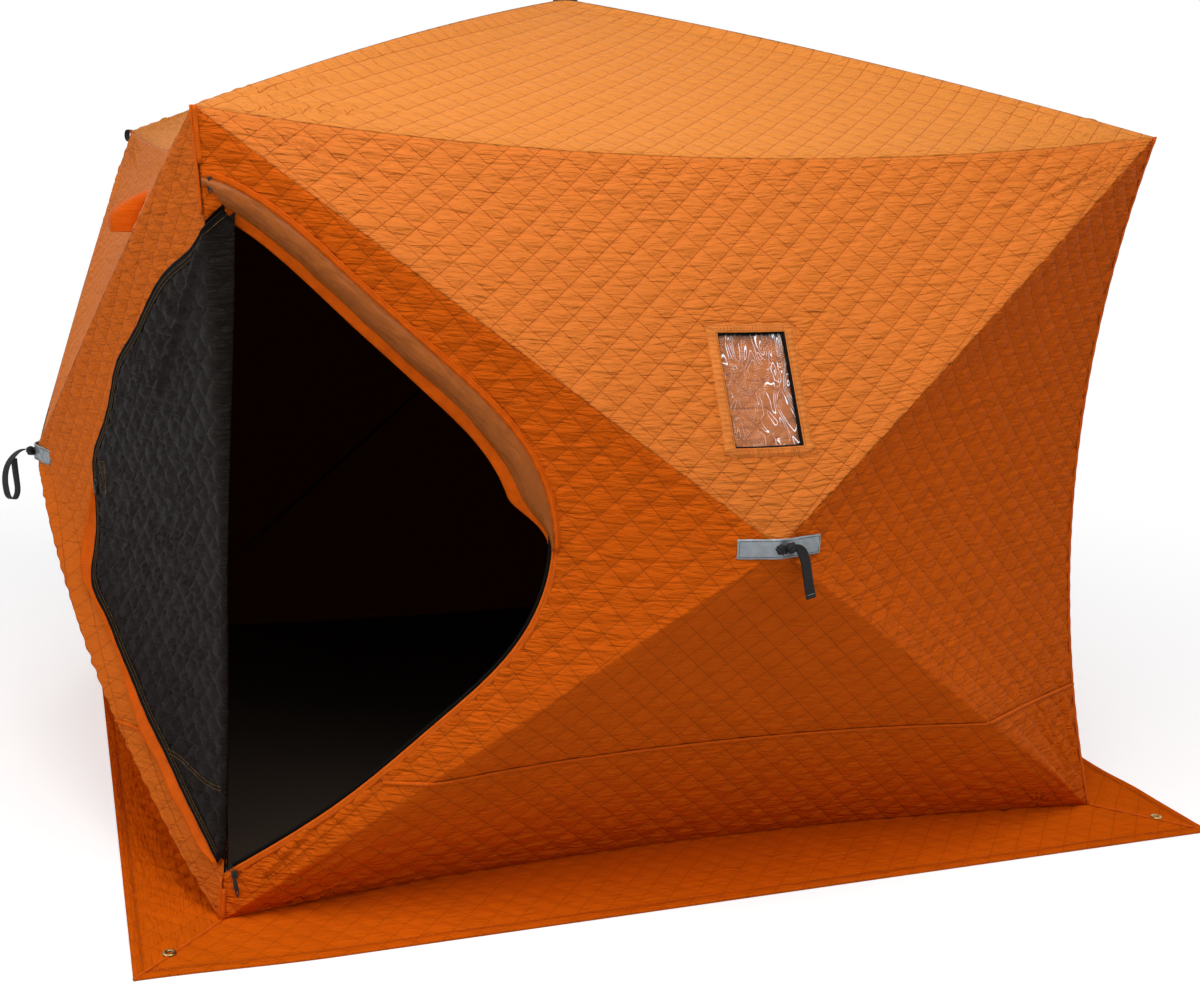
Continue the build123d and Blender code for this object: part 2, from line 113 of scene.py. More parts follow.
class HutSizes(bpy.types.PropertyGroup):
    quilt_cell: size_prop("Quilt cell", 0.049, 0.02, 0.12, "Distance between neighbouring lines of quilting")
    quilt_height: size_prop("Quilt height", 0.0041, 0.0, 0.02,
                            "How far the padding swells between the lines of quilting")
    quilt_steps: IntProperty(
        name="Quilt steps", description="Mesh faces across one quilt cell",
        default=6, min=2, max=8)
    wrinkle_height: size_prop("Wrinkle height", 0.0016, 0.0, 0.01, "Height of the long wrinkles in the pulled cloth")
    corner_folds: size_prop("Corner folds", 0.0066, 0.0, 0.02, "Height of the folds that fan out from the corners")
    wall_bow: size_prop("Wall pole bow", 0.008, 0.0, 0.03,
                        "How far a bent pole pushes a wall's ridge out at its middle")
    left_swell: size_prop("Left wall swell", 0.052, 0.0, 0.08,
                          "How far the left wall swells out over its two lower poles")
    ridge_roll: size_prop("Ridge roll", 0.045, 0.0, 0.1,
                          "How softly the cloth turns over the two lower poles of a wall")
    roof_bow: size_prop("Roof pole bow", 0.020, 0.0, 0.03, "How far a bent pole pushes a roof ridge up at its middle")
    band_height: size_prop("Lower seam", 0.318, 0.1, 0.6, "Height of the level seam near the ground")
    window_width: size_prop("Window width", 0.154, 0.05, 0.4, "Clear width of a window")
    window_height: size_prop("Window height", 0.266, 0.05, 0.5, "Clear height of a window")
    window_up: size_prop("Window above hub", 0.358, 0.2, 0.6, "Window centre above the hub, along the cloth")
    off_centre: size_prop("Off centre", 0.013, -0.05, 0.05,
                          "How far the windows and patches are sewn to the right of a wall's middle")
    window_band: size_prop("Window band", 0.024, 0.01, 0.05, "Width of the sewn band round a window")
    patch_width: size_prop("Patch width", 0.194, 0.05, 0.4, "Width of the reflective patch over a wall hub")
    patch_height: size_prop("Patch height", 0.042, 0.02, 0.1, "Height of the reflective patch over a wall hub")
    strap_width: size_prop("Strap width", 0.021, 0.01, 0.04, "Width of a pull strap's webbing")
    zip_tape: size_prop("Zip tape", 0.0085, 0.005, 0.03, "Width of the zip tape that shows along the doorway")
    hem: size_prop("Skirt hem", 0.022, 0.01, 0.04, "Width of the hem folded along the skirt's outer edge")


def linear(code):
    """A colour written as sRGB hex, as the linear values that nodes and properties take."""
    parts = [int(code[i:i + 2], 16) / 255 for i in (1, 3, 5)]
    return tuple(c / 12.92 if c <= 0.04045 else ((c + 0.055) / 1.055) ** 2.4 for c in parts) + (1.0,)


def colour_prop(name, code, description):
    return FloatVectorProperty(name=name, description=description, subtype="COLOR", size=4,
                               min=0.0, max=1.0, default=linear(code))


class HutColours(bpy.types.PropertyGroup):
    shell: colour_prop("Shell", "#CB5709", "Outside of the quilted shell")
    # Painted highlight: a lighter, yellower copy of the shell colour, painted on the roof and upper panels where more
    # light falls.
    highlight_shell: colour_prop("Faded shell", "#CB7A31", "The shell where the sun has faded it, on the roof")
    shell_thread: colour_prop("Shell thread", "#9E450E", "Quilting lines of the shell")
    plain_cloth: colour_prop("Plain cloth", "#DC5C08", "Smooth unquilted cloth of the storm flaps and bindings")
    # Painted shade: the storm flap's satin face has a darker, browner colour for the shade it hangs in.
    shaded_flap_satin: colour_prop("Flap satin", "#A2561E", "Outer face of the doorway's storm flap")
    pale_thread: colour_prop("Pale thread", "#B4B2AC", "Bar tacks on the pull straps")
    lining: colour_prop("Lining", "#171614", "Inside of the quilted shell")
    lining_thread: colour_prop("Lining thread", "#0B0A0A", "Quilting lines of the lining")
    gold_thread: colour_prop("Gold thread", "#A8792C", "Top stitching along the door's edge")
    webbing: colour_prop("Webbing", "#161514", "Pull straps, zip tape and tabs")
    patch: colour_prop("Reflective tape", "#8B9296", "Patches over the wall hubs")
    moulding: colour_prop("Moulding", "#1B1B1C", "Hubs, pole ends and knobs")
    rod: colour_prop("Rod", "#24262A", "Fibreglass poles")
    brass: colour_prop("Brass", "#B29A62", "Anchor grommets")


def sizes():
    return bpy.context.scene.hut_sizes


def colours():
    return bpy.context.scene.hut_colours


# ---- the triangles of cloth ----
def unit(v):
    return v / np.linalg.norm(v)


def base_corner(sx, sy):
    return np.array((sx * BASE_HALF, sy * BASE_HALF, 0.0))


def top_corner(sx, sy):
    return np.array((sx * TOP_HALF_X, sy * TOP_HALF_Y, CORNER_HEIGHT))


class Triangle:
    """A triangle of cloth between a hub and an outer seam that the pull of the cloth draws in."""

    def __init__(self, start, end, sag, hub, up_from_hub):
        self.start, self.end, self.hub, self.sag = start, end, np.array(hub, float), sag
        self.swell = self.rolls = (0.0, 0.0)
        chord = end - start
        self.length = np.linalg.norm(chord)
        self.along = chord / self.length
        middle = (start + end) / 2
        self.inward = unit(self.along * middle.dot(self.along) - middle)
        normal = unit(np.cross(start - self.hub, end - self.hub))
        self.normal = normal if normal.dot(self.hub) > 0 else -normal
        away = middle - self.hub
        away -= self.along * away.dot(self.along)
        self.reach = np.linalg.norm(away)
        self.away = away / self.reach
        self.y_axis = self.away if up_from_hub else -self.away
        self.x_axis = np.cross(self.y_axis, self.normal)

    def fold_from(self, other):
        """Takes the pattern axes of a neighbour, folded over the ridge between the two."""
        turn = Vector(other.normal).rotation_difference(Vector(self.normal))
        self.x_axis = np.array(turn @ Vector(other.x_axis))
        self.y_axis = np.array(turn @ Vector(other.y_axis))

    def pattern(self, point):
        return np.array(((point - self.hub).dot(self.x_axis), (point - self.hub).dot(self.y_axis)))

    def ends(self):
        return self.pattern(self.start), self.pattern(self.end)

    def drawn_in(self, share):
        """How far the seam is drawn in at a share of its length: a circular arc."""
        radius = (self.length ** 2 / 4 + self.sag ** 2) / (2 * self.sag)
        return np.sqrt(radius ** 2 - ((share - 0.5) * self.length) ** 2) - (radius - self.sag)

    def where(self, q):
        """Flat place in space, fraction of the way from the hub to the seam, and share along it."""
        offset = q[:, :1] * self.x_axis + q[:, 1:2] * self.y_axis
        fraction = np.maximum(offset @ self.away / self.reach, 1e-4)
        share = ((self.hub + offset / fraction[:, None] - self.start) @ self.along) / self.length
        return self.hub + offset, fraction, np.clip(share, 0, 1)

    def surface(self, q, bow):
        """Where pattern points lie in space on the drawn-in cloth; bow is the push of a bent pole at its ridges."""
        flat, fraction, share = self.where(q)
        placed = flat + (fraction * self.drawn_in(share))[:, None] * self.inward
        ridge = 1 - 4 * share * (1 - share)
        swell = np.where(share < 0.5, *self.swell)
        push = (bow * ridge ** 5 + swell * ridge ** 2) * 4 * fraction * (1 - fraction)
        for corner, slope in zip(self.ends(), self.rolls):
            off = np.abs(q @ unit(np.array((corner[1], -corner[0])))) / sizes().ridge_roll
            push += slope * sizes().ridge_roll * off * np.exp(-off) * fade(1 - fraction, 0.3) * fade(fraction, 0.15)
        out = unit(self.hub * LEVEL if self.hub[0] or self.hub[1] else self.hub)
        return placed + push[:, None] * out

    def from_plane(self, ab, origin, x_dir, y_dir):
        """Pattern places of points drawn on a flat plane and pushed square through the cloth."""
        through = np.cross(x_dir, y_dir)
        drawn = origin + ab[:, :1] * x_dir + ab[:, 1:2] * y_dir
        q = np.zeros((len(ab), 2))
        pulled = np.zeros((len(ab), 3))
        for _ in range(12):
            gap = (drawn - pulled - self.hub) @ self.normal
            flat = drawn - pulled - (gap / through.dot(self.normal))[:, None] * through
            q = np.stack(((flat - self.hub) @ self.x_axis, (flat - self.hub) @ self.y_axis), 1)
            _, fraction, share = self.where(q)
            pulled = (fraction * self.drawn_in(share))[:, None] * self.inward
        return q


class Cut:
    """One piece of cloth of one or more triangles that share a hub, laid out flat."""

    def __init__(self, triangles, bow):
        self.triangles = triangles
        self.bow = bow

    def owner(self, q):
        """Index of the triangle that each pattern point belongs to."""
        best = np.full(len(q), -np.inf)
        index = np.zeros(len(q), int)
        for i, t in enumerate(self.triangles):
            a, b = t.ends()
            depth = (q @ np.linalg.inv(np.array((a, b)))).min(1)
            index[depth > best] = i
            best = np.maximum(best, depth)
        return index

    def place(self, q, rise=0.0):
        """Where pattern points lie in space, raised from the cloth by rise."""
        rise = np.broadcast_to(rise, len(q))
        out = np.zeros((len(q), 3))
        index = self.owner(q)
        for i, t in enumerate(self.triangles):
            here = index == i
            if here.any():
                out[here] = t.surface(q[here], self.bow) + rise[here][:, None] * t.normal
        return out


def cuts():
    """The cloth pieces: each wall's top, each wall's sides and bottom in one, and the roof's four."""
    s = sizes()
    made = {}
    for wall, (hub, low, high) in WALLS.items():
        made[f"{wall}_top"] = Cut(
            [Triangle(top_corner(*low), top_corner(*high), EAVE_SAG, hub, True)], s.wall_bow)
        bottom = Triangle(base_corner(*low), base_corner(*high), BASE_SAG, hub, False)
        # The corner beside the open door isn't pulled in as far as the others.
        left_sag = OPEN_CORNER_SAG if wall == "front" else CORNER_SAG
        right_sag = OPEN_CORNER_SAG if wall == "left" else CORNER_SAG
        left = Triangle(base_corner(*low), top_corner(*low), left_sag, hub, True)
        right = Triangle(base_corner(*high), top_corner(*high), right_sag, hub, True)
        bottom.rolls, left.rolls, right.rolls = (0.45, 0.45), (0.25, 0.0), (0.25, 0.0)
        left.fold_from(bottom)
        right.fold_from(bottom)
        if wall == "left":
            left.swell = right.swell = (s.left_swell, 0.0)
            bottom.swell = (s.left_swell, s.left_swell)
        made[f"{wall}_sides"] = Cut([left, bottom, right], s.wall_bow)
        made[f"roof_{wall}"] = Cut(
            [Triangle(top_corner(*low), top_corner(*high), EAVE_SAG, (0, 0, ROOF_HEIGHT), False)],
            s.roof_bow)
    return made


# ---- curves and distances on the flat pattern ----
def smooth_route(points, steps):
    """A smooth line through points, parted evenly along its length."""
    points = np.array(points, float)
    run = np.concatenate(([0], np.cumsum(np.linalg.norm(np.diff(points, axis=0), axis=1))))
    n, gap = len(points), np.diff(run)
    matrix, right = np.eye(n), np.zeros(points.shape)
    for i in range(1, n - 1):
        matrix[i, i - 1:i + 2] = gap[i - 1], 2 * (gap[i - 1] + gap[i]), gap[i]
        right[i] = 6 * ((points[i + 1] - points[i]) / gap[i] - (points[i] - points[i - 1]) / gap[i - 1])
    bend = np.linalg.solve(matrix, right)
    t = np.linspace(0, run[-1], steps)
    k = np.clip(np.searchsorted(run, t, side="right") - 1, 0, n - 2)
    a, b, h = (run[k + 1] - t)[:, None], (t - run[k])[:, None], gap[k][:, None]
    return (bend[k] * a ** 3 / (6 * h) + bend[k + 1] * b ** 3 / (6 * h)
            + (points[k] / h - bend[k] * h / 6) * a + (points[k + 1] / h - bend[k + 1] * h / 6) * b)


def beside(line, offset):
    """The line moved sideways, to its left, by an even distance."""
    run = np.gradient(line, axis=0)
    run /= np.linalg.norm(run, axis=1)[:, None]
    return line + np.stack((-run[:, 1], run[:, 0]), 1) * np.asarray(offset, float).reshape(-1, 1)


def along(line, share):
    """Points at shares, from 0 to 1, of a line of evenly parted points."""
    k = np.clip(share * (len(line) - 1), 0, len(line) - 1)
    return np.stack([np.interp(k, np.arange(len(line)), column) for column in line.T], 1)


def level_route(count, low=0.0, high=1.0):
    return np.stack((np.linspace(low, high, count), np.zeros(count)), 1)


def to_segment(q, a, b):
    """Distance of pattern points from the line between a and b."""
    run = b - a
    t = np.clip((q - a) @ run / run.dot(run), 0, 1)
    return np.linalg.norm(q - a - t[:, None] * run, axis=1)


def to_line(q, line, closed=False):
    """Distance of pattern points from a line of many points."""
    nearest = np.full(len(q), 9.0)
    ends = np.roll(line, -1, 0) if closed else line[1:]
    for a, b in zip(line, ends):
        nearest = np.minimum(nearest, to_segment(q, a, b))
    return nearest


def inside(q, outline):
    """Which pattern points lie inside a closed outline."""
    crossed = np.zeros(len(q), bool)
    for a, b in zip(outline, np.roll(outline, -1, 0)):
        spans = (a[1] > q[:, 1]) != (b[1] > q[:, 1])
        if spans.any():
            at = a[0] + (q[:, 1] - a[1]) / (b[1] - a[1]) * (b[0] - a[0])
            crossed ^= spans & (q[:, 0] < at)
    return crossed


def stretches_outside(line, outline):
    """The parts of a line that lie outside a closed outline."""
    kept = np.flatnonzero(~inside(line, outline))
    parts = np.split(kept, np.flatnonzero(np.diff(kept) > 1) + 1)
    return [line[part] for part in parts if len(part) > 5]


def fade(distance, reach):
    """A soft step: 0 up to no distance, and 1 from reach on."""
    t = np.clip(distance / reach, 0, 1)
    return t * t * (3 - 2 * t)


def ripples(q, seed, across, along, waves=7):
    """Uneven long wrinkles from a few seeded waves: across and along are typical spacings."""
    dice = np.random.default_rng(seed)
    total = np.zeros(len(q))
    for _ in range(waves):
        k = np.array((dice.normal(0, 1) / along, dice.uniform(0.7, 1.5) / across)) * 2 * math.pi
        total += dice.uniform(0.5, 1) * np.sin(q @ k + dice.uniform(0, 2 * math.pi))
    return total / math.sqrt(waves)


# ---- building blocks ----
def finished(name, mesh, materials, replaces=(), smooth=True):
    """Puts a mesh into the scene as a piece of the hut."""
    for material in materials:
        mesh.materials.append(material)
    if smooth:
        mesh.shade_smooth()
    piece = bpy.data.objects.new(name, mesh)
    bpy.context.scene.collection.objects.link(piece)
    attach(piece, "root")
    if replaces:
        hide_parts(*replaces)
    return piece


def mesh_from(bm, name):
    mesh = bpy.data.meshes.new(name)
    bm.to_mesh(mesh)
    bm.free()
    return mesh


def read_points(mesh):
    co = np.zeros(len(mesh.vertices) * 3)
    mesh.vertices.foreach_get("co", co)
    return co.reshape(-1, 3)


def write_points(mesh, co):
    mesh.vertices.foreach_set("co", np.ascontiguousarray(co, float).ravel())
    mesh.update()


def write_uv(mesh, uv):
    """Gives a mesh a UV map with one place for each vertex, in metres."""
    layer = mesh.uv_layers.new(name="cloth")
    index = np.zeros(len(mesh.loops), int)
    mesh.loops.foreach_get("vertex_index", index)
    layer.data.foreach_set("uv", np.ascontiguousarray(uv[index], float).ravel())


def write_value(mesh, name, values):
    layer = mesh.attributes.new(name, "FLOAT", "POINT")
    layer.data.foreach_set("value", np.ascontiguousarray(values, float))


def face_pitch():
    """Size of a face of flat cloth."""
    return sizes().quilt_cell / sizes().quilt_steps


def cut_near(bm, faces, a, b, past, beside_it):
    """Cuts those faces that lie near the line from a to b, and gives the new edges and points."""
    run, length = unit(b - a), np.linalg.norm(b - a)
    near = []
    for face in faces:
        c = face.calc_center_median()
        t = (c.x - a[0]) * run[0] + (c.y - a[1]) * run[1]
        d = (c.x - a[0]) * -run[1] + (c.y - a[1]) * run[0]
        if -past < t < length + past and abs(d) < beside_it:
            near.append(face)
    if not near:
        return []
    geometry = near + list({e for f in near for e in f.edges}) + list({v for f in near for v in f.verts})
    return bmesh.ops.bisect_plane(bm, geom=geometry, dist=1e-6, plane_co=(*a, 0),
                                  plane_no=(-run[1], run[0], 0))["geom_cut"]


def split_along(bm, a, b):
    """Cuts the flat cloth along the line from a to b."""
    cut_near(bm, bm.faces[:], a, b, 2.5 * face_pitch(), 2.5 * face_pitch())


def trim(bm, outline, keep_inside):
    """Cuts the flat cloth along a closed outline and drops one side of it."""
    pitch = face_pitch()
    faces = bm.faces[:]
    centres = np.array([f.calc_center_median()[:2] for f in faces])
    near = to_line(centres, outline, closed=True) < 3 * pitch
    band = {f for f, n in zip(faces, near) if n}
    for a, b in zip(outline, np.roll(outline, -1, 0)):
        new = cut_near(bm, band, a, b, 1.3 * pitch, 1.5 * pitch)
        band = {f for f in band if f.is_valid}
        band |= {f for e in new if isinstance(e, bmesh.types.BMEdge) for f in e.link_faces}
    faces = bm.faces[:]
    centres = np.array([f.calc_center_median()[:2] for f in faces])
    gone = inside(centres, outline) != keep_inside
    bmesh.ops.delete(bm, geom=[f for f, g in zip(faces, gone) if g], context="FACES")


def flat_grid(centre, half):
    """A square of fine mesh that lines up with the quilting, big enough for a piece of cloth."""
    s = sizes()
    count = math.ceil(half / s.quilt_cell) * s.quilt_steps
    step = s.quilt_cell * math.sqrt(2)
    middle = Vector((round(centre[0] / step) * step, round(centre[1] / step) * step, 0))
    bm = bmesh.new()
    bmesh.ops.create_grid(bm, x_segments=2 * count, y_segments=2 * count, size=count * face_pitch(),
                          matrix=Matrix.Translation(middle) @ Matrix.Rotation(math.pi / 4, 4, "Z"))
    return bm


def quilting(q, cell):
    """Height of the padding, from 0 on a line of quilting to 1 in the middle of a cell."""
    u, v = (q[:, 0] + q[:, 1]) / math.sqrt(2), (q[:, 1] - q[:, 0]) / math.sqrt(2)
    return (np.abs(np.sin(math.pi * u / cell)) * np.abs(np.sin(math.pi * v / cell))) ** 0.55


def corner_fan(q, corners, seed):
    """Folds that fan out from the corners where the cloth is pulled tight."""
    total = np.zeros(len(q))
    for i, corner in enumerate(corners):
        d = q - corner
        r, angle = np.linalg.norm(d, axis=1), np.arctan2(d[:, 1], d[:, 0])
        dice = np.random.default_rng(seed + i)
        a, b, c = dice.uniform(0, 6.28, 3)
        wave = np.sin(52 * angle + 2.2 * np.sin(9 * angle + a) + b) * (0.55 + 0.45 * np.sin(17 * angle + c))
        total += wave * fade(r - 0.03, 0.16) * (1 - fade(r - 0.16, 0.42))
    return total


def thicken(bm):
    """Gives flat cloth a second side: the lining, marked by its depth until it is laid in place."""
    sheet = bmesh.ops.extrude_face_region(bm, geom=bm.faces[:], use_keep_orig=True)
    verts = [v for v in sheet["geom"] if isinstance(v, bmesh.types.BMVert)]
    bmesh.ops.translate(bm, verts=verts, vec=(0, 0, -0.01))
    bmesh.ops.recalc_face_normals(bm, faces=bm.faces[:])
    top = max(bm.faces, key=lambda f: f.calc_center_median().z)
    if top.normal.z < 0:
        bmesh.ops.reverse_faces(bm, faces=bm.faces[:])


def lay_cloth(name, cut, bm, seams, rises, replaces, seed, swap=False, wrinkle=1.0,
              fans=(), extra=None, flat_hem=None, painted_light=0.0, pressed=None, shell=None, lined=None, taut=()):
    """Turns flat cloth into a quilted piece lying on its triangles of the hut.

    seams are lines that the padding is sewn down to, and rises the heights of its two sides. Cloth
    is flatter along the line pressed and the (start, end, reach) of taut, and in a flat_hem, which
    is (its distance from the pattern's middle, its width). lined says which faces show the lining."""
    s = sizes()
    thicken(bm)
    mesh = mesh_from(bm, name)
    co = read_points(mesh)
    q, under = co[:, :2], co[:, 2] < -0.005
    count = len(mesh.polygons)
    normal = np.zeros(count * 3)
    mesh.polygons.foreach_get("normal", normal)
    face_up = normal.reshape(-1, 3)[:, 2] > (0.5 if shell is None else -0.5)
    middle = np.zeros(count * 3)
    mesh.polygons.foreach_get("center", middle)
    seam = np.full(len(q), 9.0)
    for line in seams:
        seam = np.minimum(seam, to_line(q, np.array(line)))
    puff = quilting(q, s.quilt_cell) * fade(seam, 0.014) * s.quilt_height
    if pressed is not None:
        puff *= fade(to_segment(q, *pressed) - 0.02, 0.10)
    for a, b, reach in taut:
        puff *= 0.3 + 0.7 * fade(to_segment(q, a, b) - reach / 6, reach)
    if flat_hem is not None:
        puff *= np.where(np.abs(q[:, 1] + flat_hem[0]) < flat_hem[1], 0.0, 0.75)
    groove = 0.0016 * np.exp(-(seam / 0.006) ** 2)
    folds = wrinkle * s.wrinkle_height * ripples(q, seed, 0.034, 0.30) * fade(seam, 0.03)
    folds += s.corner_folds * corner_fan(q, fans, seed) * fade(seam, 0.02) if len(fans) else 0
    if extra is not None:
        folds = folds + extra(q)
    top, bottom = rises
    raised = top + puff - groove + folds
    rise = np.where(under, bottom, raised if shell is None else np.maximum(raised, bottom + 0.0008))
    placed = cut.place(q, rise)
    if bottom == 0:
        placed[under] = cut.place(q[under], -0.4 * puff[under]) * CLOTH
    write_points(mesh, placed)
    write_uv(mesh, q)
    write_value(mesh, "seam", seam)
    # Share of the painted highlight: how much of the lighter, yellower shell colour is painted on this piece.
    write_value(mesh, "painted_light", np.full(len(q), painted_light))
    index = np.where(face_up != swap, 0, 1).astype(np.int32)
    if lined is not None:
        index[lined(middle.reshape(-1, 3)[:, :2])] = 1
    mesh.polygons.foreach_set("material_index", index)
    # Pieces that carry more of the painted highlight take the shell's lit, glossier copy.
    outer = shell or (highlight_quilted_shell() if painted_light > 0.5 else quilted_shell())
    return finished(name, mesh, [outer, quilted_lining()], replaces)


def give_thickness(piece, thickness, offset=-1.0):
    solid = piece.modifiers.new("thickness", "SOLIDIFY")
    solid.thickness, solid.offset = thickness, offset


def ribbon(name, route, across, place, materials, thickness, steps=2, replaces=(), wave=None,
           hung_on=None):
    """A strip of cloth or tape that follows a route; place turns flat points and heights to space.

    across is (left edge, right edge) beside the route, each one number or one for each point.
    A strip that hangs free is a sheet, declared with what it hangs on and its length where the route has another."""
    route = np.asarray(route, float)
    n = len(route)
    bm = bmesh.new()
    bmesh.ops.create_grid(bm, x_segments=n - 1, y_segments=steps, size=0.5,
                          matrix=Matrix.Translation((0.5, 0.5, 0)))
    mesh = mesh_from(bm, name)
    uv = read_points(mesh)[:, :2]
    k = np.rint(uv[:, 0] * (n - 1)).astype(int)
    left, right = (np.broadcast_to(np.asarray(a, float), n)[k] for a in across)
    sideways = left + (right - left) * uv[:, 1]
    run = np.gradient(route, axis=0)
    run /= np.linalg.norm(run, axis=1)[:, None]
    flat = route[k] + np.stack((-run[k][:, 1], run[k][:, 0]), 1) * sideways[:, None]
    height = np.zeros(len(uv)) if wave is None else wave(uv[:, 0], uv[:, 1])
    write_points(mesh, place(flat, height))
    length = np.concatenate(([0], np.cumsum(np.linalg.norm(np.diff(route, axis=0), axis=1))))
    write_uv(mesh, np.stack((length[k], sideways), 1))
    piece = finished(name, mesh, materials, replaces)
    give_thickness(piece, thickness, 0.0)
    if hung_on:
        wide = np.abs(np.subtract(*(np.broadcast_to(np.asarray(a, float), n) for a in across)))
    return piece


def stitches(name, lines, place, material, pitch=0.0052, length=0.0036):
    """Rows of thread: each stitch is a small rounded bar that lies along its line."""
    bm = bmesh.new()
    for line, height in lines:
        line = np.asarray(line, float)
        run = np.concatenate(([0], np.cumsum(np.linalg.norm(np.diff(line, axis=0), axis=1))))
        spots = np.arange(pitch / 2, run[-1], pitch)
        ends = [np.stack([np.interp(spots + d, run, line[:, i]) for i in (0, 1)], 1)
                for d in (-length / 2, length / 2)]
        a, b = place(ends[0], height), place(ends[1], height)
        for p, r in zip(a, b):
            axis = Vector(r - p)
            turn = axis.to_track_quat("Z", "Y").to_matrix().to_4x4()
            bmesh.ops.create_cone(bm, cap_ends=True, segments=5, radius1=THREAD_WIDTH / 2, radius2=THREAD_WIDTH / 2,
                                  depth=axis.length, matrix=Matrix.Translation((Vector(p) + Vector(r)) / 2) @ turn)
    return finished(name, mesh_from(bm, name), [material])


# ---- materials ----
def feed(made, **inputs):
    """Gives a node's inputs, named or numbered as i0, i1 and so on, values or sockets.

    A node given as a value stands for its first output."""
    for key, value in inputs.items():
        numbered = key[0] == "i" and key[1:].isdigit()
        socket = made.inputs[int(key[1:]) if numbered else key.replace("_", " ")]
        if isinstance(value, bpy.types.Node):
            value = value.outputs[0]
        if isinstance(value, bpy.types.NodeSocket):
            made.id_data.links.new(value, socket)
        else:
            socket.default_value = value


def node(tree, kind, settings=None, **inputs):
    """Adds a node with its settings and inputs. A ramp's stops are pairs of place and colour."""
    made = tree.nodes.new(f"ShaderNode{kind}")
    settings = dict(settings or {})
    stops = settings.pop("stops", ())
    for key, value in settings.items():
        setattr(made, key, value)
    if stops:
        elements = made.color_ramp.elements
        elements[0].position, elements[0].color = stops[0]
        elements[1].position, elements[1].color = stops[-1]
        for place, colour in stops[1:-1]:
            elements.new(place).color = colour
    feed(made, **inputs)
    return made


def material(name, **constants):
    """An empty material with its shader; constants go straight on the shader's own sockets."""
    made = bpy.data.materials.new(name)
    made.use_nodes = True
    tree = made.node_tree
    shader = tree.nodes["Principled BSDF"]
    feed(shader, **constants)
    return made, tree, shader


def once(build):
    """Each material is made once and then shared."""
    def get():
        return bpy.data.materials.get(build.material) or build()
    build.material = build.__doc__.split(":")[0]
    get.__doc__ = build.__doc__
    return get


def seen_directly(tree):
    """1 for the camera's own rays and for those it sees in a mirror or through glass."""
    rays = node(tree, "LightPath")
    two = node(tree, "Math", {"operation": "MAXIMUM"}, i0=rays.outputs["Is Camera Ray"],
               i1=rays.outputs["Is Transmission Ray"])
    return node(tree, "Math", {"operation": "MAXIMUM"}, i0=two, i1=rays.outputs["Is Glossy Ray"])


def shade(colour, factor):
    """A linear colour made darker or lighter."""
    return tuple(min(1.0, c * factor) for c in colour[:3]) + (1.0,)


